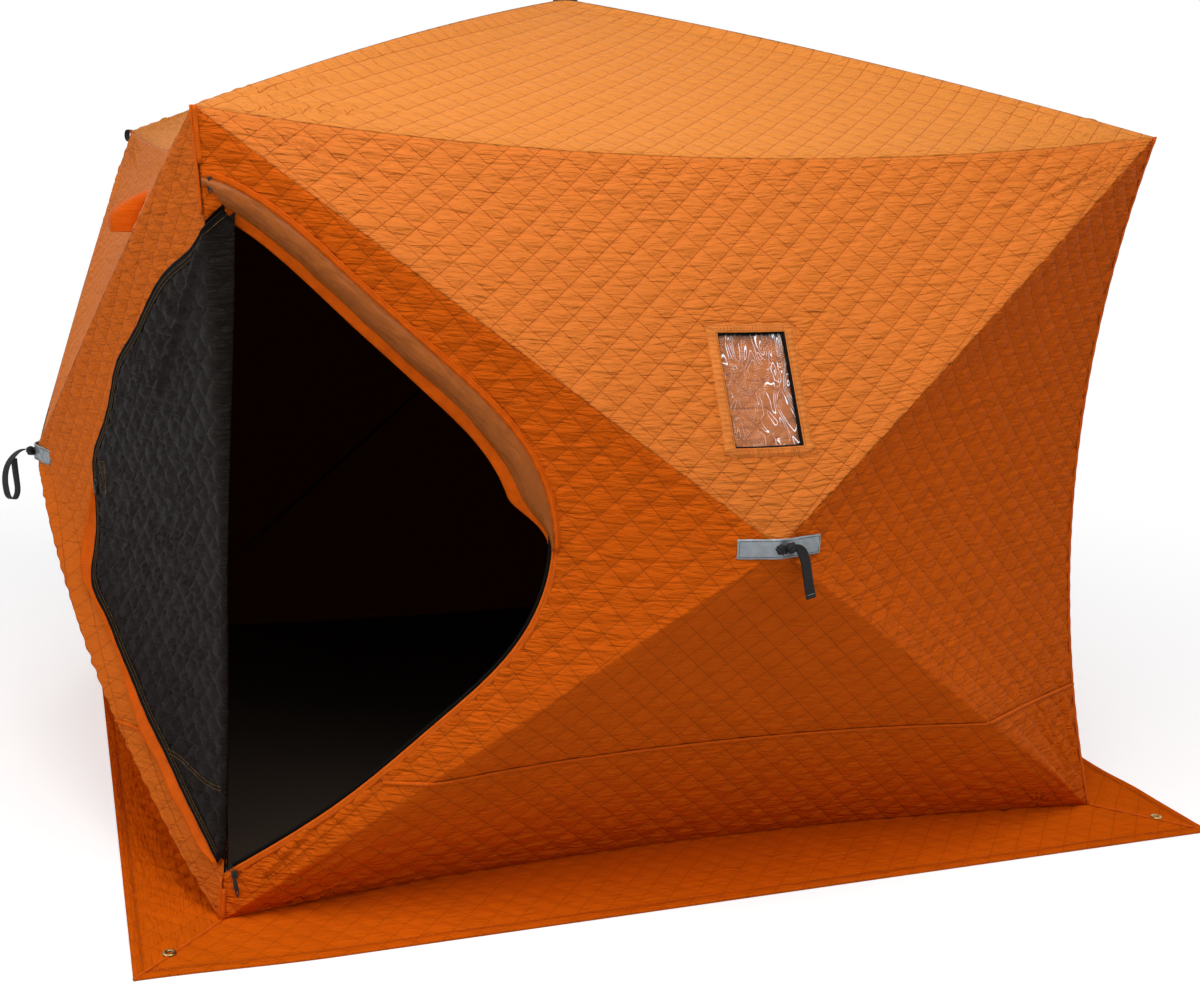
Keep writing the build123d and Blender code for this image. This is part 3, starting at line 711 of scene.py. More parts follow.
def quilted(name, colour, thread, highlight_colour, roughness, specular, crumple):
    """Woven cloth with quilting lines, sewn seams, fine crumples and a weave, on its own UV map."""
    cell = sizes().quilt_cell
    made, tree, shader = material(name, Roughness=roughness, Specular_IOR_Level=specular)
    uv = node(tree, "TexCoord").outputs["UV"]
    turned = node(tree, "Mapping", Vector=uv, Rotation=(0, 0, -math.pi / 4),
                  Scale=(1 / cell, 1 / cell, 1))
    lines = node(tree, "SeparateXYZ", Vector=turned)

    def sewn_line(across, along):
        """1 on a line of thread, with the small gaps between its stitches."""
        off = node(tree, "Math", {"operation": "PINGPONG"}, i0=across, i1=0.5)
        near = node(tree, "MapRange", {"interpolation_type": "SMOOTHSTEP"}, Value=off,
                    From_Min=0.0004 / cell, From_Max=0.0017 / cell, To_Min=0.78, To_Max=0.0)
        dash = node(tree, "Math", {"operation": "PINGPONG"}, i0=along, i1=0.0022 / cell)
        gap = node(tree, "MapRange", Value=dash, From_Min=0.0003 / cell,
                   From_Max=0.0008 / cell, To_Min=0.45, To_Max=1.0)
        return node(tree, "Math", {"operation": "MULTIPLY"}, i0=near, i1=gap)

    sewn = node(tree, "Math", {"operation": "MAXIMUM"},
                i0=sewn_line(lines.outputs[0], lines.outputs[1]),
                i1=sewn_line(lines.outputs[1], lines.outputs[0]))
    seam = node(tree, "Attribute", {"attribute_name": "seam"}).outputs["Fac"]
    far_off = node(tree, "Math", {"operation": "MULTIPLY"}, i0=seam, i1=50.0)
    crease = node(tree, "ValToRGB", {"stops": [(0.0, (0.4, 0.4, 0.4, 1)), (0.05, (0.3, 0.3, 0.3, 1)),
                                               (0.10, (0, 0, 0, 1)), (1.0, (0, 0, 0, 1))]}, Fac=far_off)
    top_rows = node(tree, "Math", {"operation": "PINGPONG"}, i0=seam, i1=0.0035)
    row = node(tree, "MapRange", Value=top_rows, From_Min=0.0027, From_Max=0.0033,
               To_Min=0.0, To_Max=0.3)
    row_here = node(tree, "Math", {"operation": "LESS_THAN"}, i0=seam, i1=0.011)
    rows = node(tree, "Math", {"operation": "MULTIPLY"}, i0=row, i1=row_here)
    marks = node(tree, "Math", {"operation": "MAXIMUM", "use_clamp": True}, i0=sewn, i1=crease)
    marks = node(tree, "Math", {"operation": "MAXIMUM", "use_clamp": True}, i0=marks, i1=rows)

    # Dye takes a little unevenly, in patches about a hand wide.
    # Painted highlight: on the roof and the upper panels, where the light falls most, the colour is painted lighter and
    # yellower.
    patches = node(tree, "TexNoise", Vector=uv, Scale=9.0, Detail=4.0, Roughness=0.6)
    body = node(tree, "ValToRGB", {"stops": [(0.3, shade(colour, 0.94)), (0.7, shade(colour, 1.05))]},
                Fac=patches.outputs["Fac"])
    painted_light = node(tree, "Attribute", {"attribute_name": "painted_light"}).outputs["Fac"]
    painted_highlight_body = node(tree, "Mix", {"data_type": "RGBA"}, Factor=painted_light, A=body, B=highlight_colour).outputs["Result"]
    dyed = node(tree, "Mix", {"data_type": "RGBA"}, Factor=marks, A=painted_highlight_body, B=thread).outputs["Result"]
    feed(shader, Base_Color=dyed)

    # Crumples: short wrinkles, longer along the width of the cloth than across it, deeper near a seam.
    pulled = node(tree, "Mapping", Vector=uv, Scale=(13, 62, 1))
    short = node(tree, "TexNoise", Vector=pulled, Scale=1.0, Detail=3.0, Roughness=0.45,
                 Distortion=0.7).outputs["Fac"]
    crossing = node(tree, "Mapping", Vector=uv, Rotation=(0, 0, 0.35), Scale=(22, 105, 1))
    second = node(tree, "TexNoise", Vector=crossing, Scale=1.0, Detail=2.0,
                  Distortion=0.6).outputs["Fac"]
    both = node(tree, "Math", {"operation": "ADD"}, i0=short, i1=second)
    gathered = node(tree, "MapRange", {"interpolation_type": "SMOOTHSTEP"}, Value=seam, From_Min=0.02,
                    From_Max=0.17, To_Min=1.35, To_Max=1.0)
    both = node(tree, "Math", {"operation": "MULTIPLY"}, i0=both, i1=gathered)
    creased = node(tree, "Bump", Strength=1.0, Distance=crumple, Height=both)
    sunk = node(tree, "Math", {"operation": "SUBTRACT"}, i0=1.0, i1=marks)
    sewn_in = node(tree, "Bump", Strength=0.8, Distance=0.0010, Height=sunk, Normal=creased)
    # Threads of the plain weave, drawn 1.2 mm apart, twice the real spacing, so that they show.
    weave = node(tree, "Mapping", Vector=uv, Scale=(830, 830, 1))
    warp = node(tree, "TexWave", {"bands_direction": "X"}, Vector=weave, Scale=0.32).outputs["Fac"]
    weft = node(tree, "TexWave", {"bands_direction": "Y"}, Vector=weave, Scale=0.32).outputs["Fac"]
    cross = node(tree, "Math", {"operation": "MAXIMUM"}, i0=warp, i1=weft)
    woven = node(tree, "Bump", Strength=0.25, Distance=0.00012, Height=cross, Normal=sewn_in)
    feed(shader, Normal=woven)
    return made


@once
def quilted_shell():
    """quilted_oxford_polyester: coated nylon-like shell of the walls; matt, as the dye is fresh there."""
    c = colours()
    return quilted("quilted_oxford_polyester", tuple(c.shell), tuple(c.shell_thread), tuple(c.highlight_shell),
                   0.60, 0.03, 0.0058)


@once
# The shell's lit copy: glossier, for the roof, the upper panels and the window covers, which carry most of the painted
# highlight.
def highlight_quilted_shell():
    """sun_faded_oxford_polyester: the same shell on the roof and upper panels; a dull satin."""
    c = colours()
    return quilted("painted_highlight_oxford_polyester", tuple(c.shell), tuple(c.shell_thread), tuple(c.highlight_shell),
                   0.60, 0.10, 0.0054)


@once
def quilted_skirt():
    """quilted_skirt_polyester: the shell's cloth lying on the ground; flatter, matt and less crumpled."""
    c = colours()
    return quilted("quilted_skirt_polyester", tuple(c.shell), shade(c.shell, 0.72), tuple(c.highlight_shell), 0.75, 0.0,
                   0.0034)


@once
def quilted_lining():
    """quilted_taffeta_lining: thin charcoal taffeta, darker and a little glossier than the shell."""
    c = colours()
    made = quilted("quilted_taffeta_lining", tuple(c.lining), tuple(c.lining_thread), tuple(c.lining),
                   0.50, 0.045, 0.0056)
    # Painted glow: the lining glows faintly red, standing in for daylight that comes through the shell.
    tree = made.node_tree
    shader = tree.nodes["Principled BSDF"]
    feed(shader, Emission_Color=(1.0, 0.17, 0.0, 1.0), Emission_Strength=0.0024)
    # Painted shade: the lining is painted darker towards the ground, where less light reaches.
    dyed = shader.inputs["Base Color"].links[0].from_socket
    up = node(tree, "SeparateXYZ",
              Vector=node(tree, "TexCoord").outputs["Object"]).outputs["Z"]
    painted_shade_ramp = node(tree, "ValToRGB", {"stops": [(0.1, shade((1, 1, 1), 0.40)), (0.9, shade((1, 1, 1), 0.76))]}, Fac=up)
    painted_shade_lining = node(tree, "Mix", {"data_type": "RGBA", "blend_type": "MULTIPLY"}, Factor=1.0, A=dyed, B=painted_shade_ramp)
    feed(shader, Base_Color=painted_shade_lining.outputs["Result"])
    return made


def plain_weave(name, colour, roughness, ribs, rib_height, wrinkle, specular=0.2):
    """Unquilted woven cloth or webbing on its own UV map: ribs across the strip and soft wrinkles."""
    made, tree, shader = material(name, Roughness=roughness, Specular_IOR_Level=specular)
    uv = node(tree, "TexCoord").outputs["UV"]
    mottle = node(tree, "TexNoise", Vector=uv, Scale=38.0, Detail=5.0).outputs["Fac"]
    body = node(tree, "ValToRGB", {"stops": [(0.3, shade(colour, 0.86)), (0.7, shade(colour, 1.08))]}, Fac=mottle)
    ribbed = node(tree, "TexWave", {"bands_direction": "X"}, Vector=uv, Scale=ribs / 20.0,
                  Distortion=0.4).outputs["Fac"]
    mix = node(tree, "Mix", {"data_type": "RGBA", "blend_type": "MULTIPLY"}, Factor=0.25, A=body, B=ribbed)
    feed(shader, Base_Color=mix.outputs["Result"])
    pulled = node(tree, "Mapping", Vector=uv, Scale=(14, 55, 1))
    soft = node(tree, "TexNoise", Vector=pulled, Scale=1.0, Detail=3.0, Distortion=0.5).outputs["Fac"]
    wrinkled = node(tree, "Bump", Strength=1.0, Distance=wrinkle, Height=soft)
    ribs_up = node(tree, "Bump", Strength=0.7, Distance=rib_height, Height=ribbed, Normal=wrinkled)
    feed(shader, Normal=ribs_up)
    return made


@once
def storm_cloth():
    """plain_coated_polyester: smooth unquilted cloth; more vivid than the quilted shell."""
    return plain_weave("plain_coated_polyester", tuple(colours().plain_cloth), 0.55, 2200, 0.00008, 0.0030, 0.04)


@once
def shaded_flap_satin():
    """storm_flap_satin: the same cloth from its brownish, silkier side, with streaks along the strip."""
    return plain_weave("storm_flap_satin", tuple(colours().shaded_flap_satin), 0.44, 2200, 0.00008, 0.0065, 0.14)


@once
def storm_band():
    """stitched_window_band: shell cloth round a window, faded like the panel that it is sewn to."""
    return plain_weave("stitched_window_band", linear("#D97D35"), 0.60, 2200, 0.00008, 0.0022, 0.08)


@once
def seam_cloth():
    """felled_seam_polyester: the shell's cloth folded under itself where two panels are sewn together."""
    return plain_weave("felled_seam_polyester", linear("#DB5F10"), 0.60, 2200, 0.00008, 0.0016, 0.04)


@once
def zip_tape():
    """woven_zip_tape: black polyester tape, matt, with fine ribs along the zip."""
    return plain_weave("woven_zip_tape", shade(colours().webbing, 0.55), 0.70, 2600, 0.0002, 0.0003, 0.05)


@once
def pull_webbing():
    """woven_webbing: black polypropylene webbing; a low shine broken by cross ribs 1.5 mm apart."""
    return plain_weave("woven_webbing", tuple(colours().webbing), 0.55, 4200, 0.0005, 0.0008)


def thread(name, colour, low, high):
    """Twisted bonded thread, worn unevenly along its length."""
    made, tree, shader = material(name, Roughness=0.55, Specular_IOR_Level=0.08)
    where = node(tree, "TexCoord").outputs["Object"]
    worn = node(tree, "TexNoise", Vector=where, Scale=160.0, Detail=2.0).outputs["Fac"]
    tint = node(tree, "ValToRGB", {"stops": [(0.35, shade(colour, low)), (0.6, shade(colour, high))]},
                Fac=worn)
    feed(shader, Base_Color=tint)
    twist = node(tree, "TexWave", {"bands_direction": "DIAGONAL"}, Vector=where, Scale=420.0).outputs["Fac"]
    feed(shader, Normal=node(tree, "Bump", Strength=0.5, Distance=0.0002, Height=twist))
    return made


@once
def sewing_thread():
    """gold_sewing_thread: small bright bars against the black tape of the door."""
    return thread("gold_sewing_thread", tuple(colours().gold_thread), 0.4, 0.8)


@once
def shell_thread():
    """shell_sewing_thread: orange-brown, a shade darker than the cloth it holds."""
    return thread("shell_sewing_thread", tuple(colours().shell_thread), 0.8, 1.3)


@once
def pale_thread():
    """pale_sewing_thread: the grey bar tacks at the ends of the pull straps."""
    return thread("pale_sewing_thread", tuple(colours().pale_thread), 0.7, 1.1)


@once
def reflective_tape():
    """glass_bead_reflective_tape: grey fabric tape, satin, with a fine net of bead cells."""
    made, tree, shader = material("glass_bead_reflective_tape", Roughness=0.38, Metallic=0.35)
    uv = node(tree, "TexCoord").outputs["UV"]
    grey = tuple(colours().patch)
    rub = node(tree, "TexNoise", Vector=uv, Scale=45.0, Detail=6.0).outputs["Fac"]
    tint = node(tree, "ValToRGB", {"stops": [(0.3, shade(grey, 0.82)), (0.7, shade(grey, 1.08))]},
                Fac=rub)
    feed(shader, Base_Color=tint)
    cells = node(tree, "TexVoronoi", Vector=uv, Scale=900.0).outputs["Distance"]
    beads = node(tree, "Bump", Strength=0.3, Distance=0.0003, Height=cells)
    pulled = node(tree, "Mapping", Vector=uv, Scale=(20, 90, 1))
    soft = node(tree, "TexNoise", Vector=pulled, Scale=1.0, Detail=3.0).outputs["Fac"]
    feed(shader, Normal=node(tree, "Bump", Strength=1.0, Distance=0.003, Height=soft, Normal=beads))
    return made


@once
def clear_vinyl():
    """clear_pvc_sheet: flexible vinyl; glossy, with whitened creases where it has been folded."""
    made, tree, shader = material("clear_pvc_sheet", Roughness=0.06, IOR=1.53, Specular_IOR_Level=0.9)
    s = sizes()
    uv = node(tree, "TexCoord").outputs["UV"]
    # Painted highlights: each crease's highlight is a thin white loop, drawn out along the way the sheet was rolled.
    drawn = node(tree, "Mapping", Vector=uv, Rotation=(0, 0, 0.18), Scale=(30, 9, 1))
    field = node(tree, "TexNoise", Vector=drawn, Scale=1.0, Detail=1.0, Distortion=0.9).outputs["Fac"]
    level = node(tree, "Math", {"operation": "PINGPONG"}, i0=field, i1=0.055)
    # The painted highlights crowd along the head and the right-hand side.
    place = node(tree, "SeparateXYZ", Vector=uv)
    right = node(tree, "MapRange", {"interpolation_type": "SMOOTHSTEP"}, Value=place.outputs[0],
                 From_Min=0.0, From_Max=0.055)
    head = node(tree, "MapRange", {"interpolation_type": "SMOOTHSTEP"}, Value=place.outputs[1],
                From_Min=s.window_up + 0.045, From_Max=s.window_up + 0.115)
    crowd = node(tree, "Math", {"operation": "MAXIMUM"}, i0=right, i1=head)
    patchy = node(tree, "TexNoise", Vector=uv, Scale=30.0, Detail=2.0).outputs["Fac"]
    broken = node(tree, "MapRange", Value=patchy, From_Min=0.40, From_Max=0.62)
    crowd = node(tree, "MapRange", Value=crowd, To_Min=0.10, To_Max=1.0)
    reach = node(tree, "Math", {"operation": "MULTIPLY"}, i0=crowd, i1=broken)
    reach = node(tree, "Math", {"operation": "MULTIPLY"}, i0=reach, i1=0.0115)
    line = node(tree, "Math", {"operation": "LESS_THAN"}, i0=level, i1=reach)
    tint = node(tree, "Mix", {"data_type": "RGBA"}, Factor=line, A=linear("#8A7F7A"), B=linear("#FFFFFF"))
    alpha = node(tree, "MapRange", Value=line, To_Min=0.09, To_Max=0.95)
    feed(shader, Base_Color=tint.outputs["Result"], Alpha=alpha)
    feed(shader, Normal=node(tree, "Bump", Strength=1.0, Distance=0.010, Height=field))
    return made


def moulded(name, colour, roughness, grain, depth):
    """Moulded plastic on object coordinates: a spark-eroded grain and slightly worn high spots."""
    made, tree, shader = material(name, Roughness=roughness, Specular_IOR_Level=0.3)
    where = node(tree, "TexCoord").outputs["Object"]
    rubbed = node(tree, "TexNoise", Vector=where, Scale=60.0, Detail=5.0).outputs["Fac"]
    tint = node(tree, "ValToRGB", {"stops": [(0.35, shade(colour, 0.8)), (0.75, shade(colour, 1.5))]},
                Fac=rubbed)
    feed(shader, Base_Color=tint)
    speck = node(tree, "TexNoise", Vector=where, Scale=grain, Detail=2.0).outputs["Fac"]
    feed(shader, Normal=node(tree, "Bump", Strength=0.35, Distance=depth, Height=speck))
    return made


@once
def moulded_nylon():
    """moulded_black_nylon: glass-filled nylon of the hubs and pole pockets; matt with a fine grain."""
    return moulded("moulded_black_nylon", tuple(colours().moulding), 0.55, 1400.0, 0.0004)


@once
def glass_rod():
    """pultruded_glass_fibre_rod: dark resin with faint long fibres and a low gloss."""
    made, tree, shader = material("pultruded_glass_fibre_rod", Roughness=0.34, Coat_Weight=0.15, Coat_Roughness=0.2)
    where = node(tree, "TexCoord").outputs["Object"]
    fibres = node(tree, "TexNoise", Vector=where, Scale=420.0, Detail=6.0, Roughness=0.8).outputs["Fac"]
    rod = tuple(colours().rod)
    tint = node(tree, "ValToRGB", {"stops": [(0.4, shade(rod, 0.7)), (0.66, shade(rod, 1.7))]},
                Fac=fibres)
    feed(shader, Base_Color=tint)
    feed(shader, Normal=node(tree, "Bump", Strength=0.2, Distance=0.0003, Height=fibres))
    return made


@once
def stamped_brass():
    """stamped_brass: rolled and stamped sheet of the grommets; warm metal, dulled by handling."""
    made, tree, shader = material("stamped_brass", Metallic=1.0, Roughness=0.32)
    where = node(tree, "TexCoord").outputs["Object"]
    dull = node(tree, "TexNoise", Vector=where, Scale=240.0, Detail=5.0).outputs["Fac"]
    brass = tuple(colours().brass)
    feed(shader, Base_Color=node(tree, "ValToRGB", {"stops": [(0.35, shade(brass, 0.5)), (0.65, brass)]}, Fac=dull))
    feed(shader, Normal=node(tree, "Bump", Strength=0.25, Distance=0.0004, Height=dull))
    return made


@once
def vent_net():
    """knitted_vent_net: black polyester net; open cells 2 mm wide."""
    made, tree, shader = material("knitted_vent_net", Roughness=0.7)
    uv = node(tree, "TexCoord").outputs["UV"]
    cells = node(tree, "TexVoronoi", {"feature": "DISTANCE_TO_EDGE"}, Vector=uv, Scale=460.0,
                 Randomness=0.1).outputs["Distance"]
    black = tuple(colours().webbing)
    tint = node(tree, "ValToRGB", {"stops": [(0.08, shade(black, 2.2)), (0.2, shade(black, 0.15))]},
                Fac=cells)
    feed(shader, Base_Color=tint)
    feed(shader, Normal=node(tree, "Bump", {"invert": True}, Strength=0.8, Distance=0.0008, Height=cells))
    return made


def finish_frame_piece(name, made):
    """Gives a piece that came with the frame its material."""
    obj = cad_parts[name]
    obj.data.materials.clear()
    obj.data.materials.append(made)


# ---- lines of the doorway ----
def door_side(side):
    """The cut and triangle that carry the doorway ("wall") or the door folded back ("flap")."""
    cut = cuts()["front_sides" if side == "wall" else "left_sides"]
    index = 0 if side == "wall" else 2
    return cut, cut.triangles[index]


def on_door(side, ab):
    """Pattern places of points given by their distances from the corner and their heights."""
    _, triangle = door_side(side)
    corner = base_corner(-1, -1)
    return triangle.from_plane(ab, corner, unit((triangle.hub - corner) * LEVEL), UP), triangle


def door_line(side, inset=0.0, part=(0.0, 1.0), steps=150, wavy=0.0):
    """The doorway's zip on the pattern, moved towards the opening by inset."""
    route = smooth_route(ZIP_ROUTE if side == "wall" else FLAP_ROUTE, steps)
    t = np.linspace(0, 1, steps)
    waves = wavy * (np.sin(31 * t + 0.6) + 0.6 * np.sin(67 * t + 2.0)) * np.sin(math.pi * t)
    q, triangle = on_door(side, beside(route, -(inset + waves)))
    _, fraction, _ = triangle.where(q)
    keep = (t >= part[0]) & (t <= part[1])
    return q, keep, fraction


def door_run(side, inset=0.0, part=(0.0, 1.0), steps=150, wavy=0.0, corner=0.996):
    """As door_line, but only the part that lies on the cloth; the folded door's head passes the corner."""
    q, keep, fraction = door_line(side, inset, part, steps, wavy)
    head = (side == "flap") & (np.arange(steps) < steps / 2)
    return q[keep & (fraction < np.where(head, 1.05, corner))]


def door_point(side, a, b):
    """Pattern place of a point given by its distance from the corner and its height."""
    return on_door(side, np.array([(a, b)], float))[0][0]


class FoldedDoor:
    """Places the door: on the next wall, its head past the corner and in behind the storm flap."""

    def __init__(self):
        self.cut, triangle = door_side("flap")
        self.base, self.top = triangle.ends()
        run = unit(self.top - self.base)
        self.out = np.array((run[1], -run[0]))
        self.out *= np.sign(self.base @ self.out)

    def past_corner(self, q):
        return (q - self.base) @ self.out

    def fold_line(self):
        """The door's fold: on the corner at its foot, and clear of it towards its head."""
        share = np.linspace(-0.03, 1.0, 16)[:, None]
        clear = 0.009 + 0.060 * np.clip((share * CORNER_HEIGHT - 0.68) / 0.82, 0, 2) ** 1.25
        return self.base + (self.top - self.base) * share + self.out * clear

    def place(self, q, rise=0.0):
        past = np.maximum(self.past_corner(q), 0)[:, None]
        rise = np.broadcast_to(rise, len(q))[:, None]
        turned = fade(past, 0.025)
        ahead = unit(np.array((BASE_HALF, -HUB_BULGE - 0.06, 0)))
        straight, outward = np.array((-ahead[1], -ahead[0], 0)), np.array((ahead[1], -ahead[0], 0))
        placed = self.cut.place(q - past * self.out, (rise * (1 - turned))[:, 0])
        placed += past * ahead + DOOR_BEND * (1 - np.exp(-past / DOOR_BEND)) * (straight - ahead)
        return placed + (rise * turned - DOOR_TUCK * fade(past - 0.02, 0.035)) * outward


def band_lines(cut):
    """The level seam near the ground, on the pattern of a wall's sides and bottom."""
    height = sizes().band_height
    left, _, right = cut.triangles
    points = []
    for t in (left, right):
        seam = t.start + (t.end - t.start) * height / CORNER_HEIGHT
        ridge = t.hub + (t.start - t.hub) * (1 - height / HUB_HEIGHT)
        points.append((t.pattern(seam), t.pattern(ridge)))
    (a, b), (d, c) = points
    return [np.array((a, b)), np.array((b, c)), np.array((c, d))]


def grid_for(outline):
    """Flat cloth that covers an outline."""
    low, high = outline.min(0), outline.max(0)
    centre = (low + high) / 2
    half = np.abs(outline - centre).sum(1).max() / math.sqrt(2) + 2 * sizes().quilt_cell
    return flat_grid(centre, half)


def sides_outline(cut):
    """Outline of a wall's sides and bottom, from the hub round to the right-hand eave."""
    left, _, right = cut.triangles
    base_l, top_l = left.ends()
    base_r, top_r = right.ends()
    return np.array(((0, 0), top_l, base_l, base_r, top_r))


def window_outline(grow=0.0):
    s = sizes()
    x, y, up = s.window_width / 2 + grow, s.window_height / 2 + grow, s.window_up
    return np.array(((-x, up - y), (x, up - y), (x, up + y), (-x, up + y))) + (s.off_centre, 0)


def declare_cloth(outline):
    """Says how large a piece of cloth was cut: its outline on the flat pattern."""
    x, y = outline[:, 0], outline[:, 1]
    area = abs(np.dot(x, np.roll(y, -1)) - np.dot(y, np.roll(x, -1))) / 2


# ---- the stage ----
def white_floor():
    """White round the hut with its shadow kept, pure white far off, and a dark sheet inside it."""
    made, tree, shader = material("matt_white_floor", Roughness=0.9, Specular_IOR_Level=0.1)
    where = node(tree, "TexCoord").outputs["Object"]
    parts = node(tree, "SeparateXYZ", Vector=where)
    sides = [node(tree, "Math", {"operation": "ABSOLUTE"}, i0=parts.outputs[i]) for i in (0, 1)]
    farther = node(tree, "Math", {"operation": "MAXIMUM"}, i0=sides[0], i1=sides[1])
    outside = node(tree, "MapRange", Value=farther, From_Min=1.095, From_Max=1.105)
    # Painted shadow: the floor inside the hut's footprint is painted dark brown.
    tint = node(tree, "ValToRGB", {"stops": [(0.0, linear("#4C4037")), (1.0, linear("#D0D0D0"))]},
                Fac=outside)
    feed(shader, Base_Color=tint)
    away = node(tree, "VectorMath", {"operation": "LENGTH"}, i0=where).outputs["Value"]
    distant = node(tree, "MapRange", {"interpolation_type": "SMOOTHSTEP"}, Value=away, From_Min=2.3,
                   From_Max=4.2)
    direct = seen_directly(tree)
    lift = node(tree, "Math", {"operation": "MULTIPLY"}, i0=direct, i1=outside)
    lift = node(tree, "Math", {"operation": "MULTIPLY"}, i0=lift, i1=0.52)
    glow = node(tree, "Emission", Color=(1, 1, 1, 1), Strength=lift)
    near = node(tree, "AddShader", i0=shader, i1=glow)
    white = node(tree, "Emission", Color=(1, 1, 1, 1), Strength=1.0)
    part = node(tree, "Math", {"operation": "MULTIPLY"}, i0=direct, i1=distant)
    total = node(tree, "MixShader", i0=part, i1=near, i2=white)
    feed(tree.nodes["Material Output"], Surface=total)
    return made


def white_surroundings(scene):
    """White past the floor for the camera, and a soft pale light from all round."""
    world = bpy.data.worlds.new("studio")
    scene.world = world
    world.use_nodes = True
    tree = world.node_tree
    tree.nodes.clear()
    white = node(tree, "Background", Color=(1, 1, 1, 1), Strength=1.0)
    sky = node(tree, "Background", Color=(0.97, 0.98, 1.0, 1), Strength=0.26)
    both = node(tree, "MixShader", i0=seen_directly(tree), i1=sky, i2=white)
    node(tree, "OutputWorld", Surface=both)


def hang_lamps(scene):
    """Square soft lamps: each has a place, what it is aimed at, its size and its power."""
    lamps = (("lamp_over", (-0.6, -2.3, 4.1), (-0.1, -0.5, 1.0), 3.2, 126.0),
             ("lamp_left", (-5.6, -1.4, 3.2), (-1.0, -0.2, 0.6), 2.8, 104.0),
             ("lamp_front", (1.0, -6.2, 3.2), (0.2, -1.0, 0.8), 3.0, 32.0),
             ("lamp_back", (1.2, 5.6, 3.4), (0, 0.4, 1.0), 3.2, 62.0),
             ("lamp_right", (5.6, 0.6, 3.0), (1.0, 0, 0.9), 3.0, 42.0))
    for name, place, aim, size, power in lamps:
        lamp = bpy.data.lights.new(name, "AREA")
        lamp.shape, lamp.size, lamp.energy = "SQUARE", size, power
        holder = bpy.data.objects.new(name, lamp)
        holder.location = place
        holder.rotation_euler = (Vector(aim) - Vector(place)).to_track_quat("-Z", "Y").to_euler()
        scene.collection.objects.link(holder)


def set_camera(scene):
    """The camera, a standing person's view of the door's corner."""
    lens = bpy.data.cameras.new("camera")
    camera = bpy.data.objects.new("camera", lens)
    pitch, roll, turn = (math.radians(a) for a in (-11.67, 1.16, -18.52))
    ahead = Vector((-math.sin(turn) * math.cos(pitch), math.cos(turn) * math.cos(pitch), math.sin(pitch)))
    right = Vector((math.cos(turn), math.sin(turn), 0))
    up = right.cross(ahead)
    across = right * math.cos(roll) + up * math.sin(roll)
    above = up * math.cos(roll) - right * math.sin(roll)
    camera.matrix_world = Matrix((across, above, -ahead)).transposed().to_4x4()
    camera.location = (-1.379, -4.092, 1.562)
    lens.sensor_width, lens.lens = 36.0, 44.91
    lens.shift_x, lens.shift_y = 0.0395, -0.0049
    lens.clip_start, lens.clip_end = 0.05, 100.0
    scene.collection.objects.link(camera)
    scene.camera = camera


# ---- operators: one for each group of pieces ----
class HUT_OT_stage(bpy.types.Operator):
    """Makes the floor, the lamps, the white surroundings and the camera"""
    bl_idname = "hut.stage"
    bl_label = "Stage"
    bl_options = {"REGISTER", "UNDO"}

    def execute(self, context):
        scene = context.scene
        scene.view_settings.view_transform = "Standard"
        bm = bmesh.new()
        bmesh.ops.create_grid(bm, x_segments=2, y_segments=2, size=30)
        floor = bpy.data.objects.new("floor", mesh_from(bm, "floor"))
        floor.location.z = -0.0005
        scene.collection.objects.link(floor)
        floor.data.materials.append(white_floor())

        white_surroundings(scene)
        hang_lamps(scene)
        set_camera(scene)
        return {"FINISHED"}


def felled_seams(wall, cut, bands, *corners):
    """Felled seams: level near the ground, and down both corners, broken at the door."""
    away = np.array(((9.0, 9.0), (9.1, 9.0), (9.0, 9.1)))
    if wall in ("front", "left"):
        away, _, _ = door_line("wall" if wall == "front" else "flap", -0.016)
    lines = [(line, -0.0042, 0.0042) for line in bands]
    lines += [(corner, -0.0005, 0.0085) for corner in corners]
    made_seams = 0
    for (a, b), low, high in lines:
        steps = int(np.linalg.norm(b - a) / 0.012)
        for part in stretches_outside(np.linspace(a, b, steps), away):
            made_seams += 1
            ribbon(f"{wall}_felled_seam_{made_seams}", part, (low, high), cut.place, [seam_cloth()],
                   TAPE, steps=4,
                   wave=lambda t, v: 0.0016 + 0.0022 * np.sin(math.pi * v) + 0.0005 * np.sin(t * 230 + v))


def wall_top(wall, cut, seed):
    """The upper triangle of a wall, with its window's opening."""
    left, right = cut.triangles[0].ends()
    outline = np.array(((0, 0), left, right))
    bm = grid_for(outline)
    trim(bm, outline, True)
    seams = [(outline[0], left), (left, right), (right, outline[0]), ((-0.05, 0.046), (0.05, 0.046))]
    if wall in ("front", "back"):
        trim(bm, window_outline(), False)
        ring = window_outline(sizes().window_band - 0.006)
        seams += [np.concatenate((ring, ring[:1]))]
    # The wall tops carry more than half of the painted highlight.
    piece = lay_cloth(f"{wall}_wall_top", cut, bm, seams, (0.0, 0.0),
                      [f"{wall}_wall_top_panel"], seed=seed, fans=(left, right), painted_light=0.55)
    declare_cloth(outline)


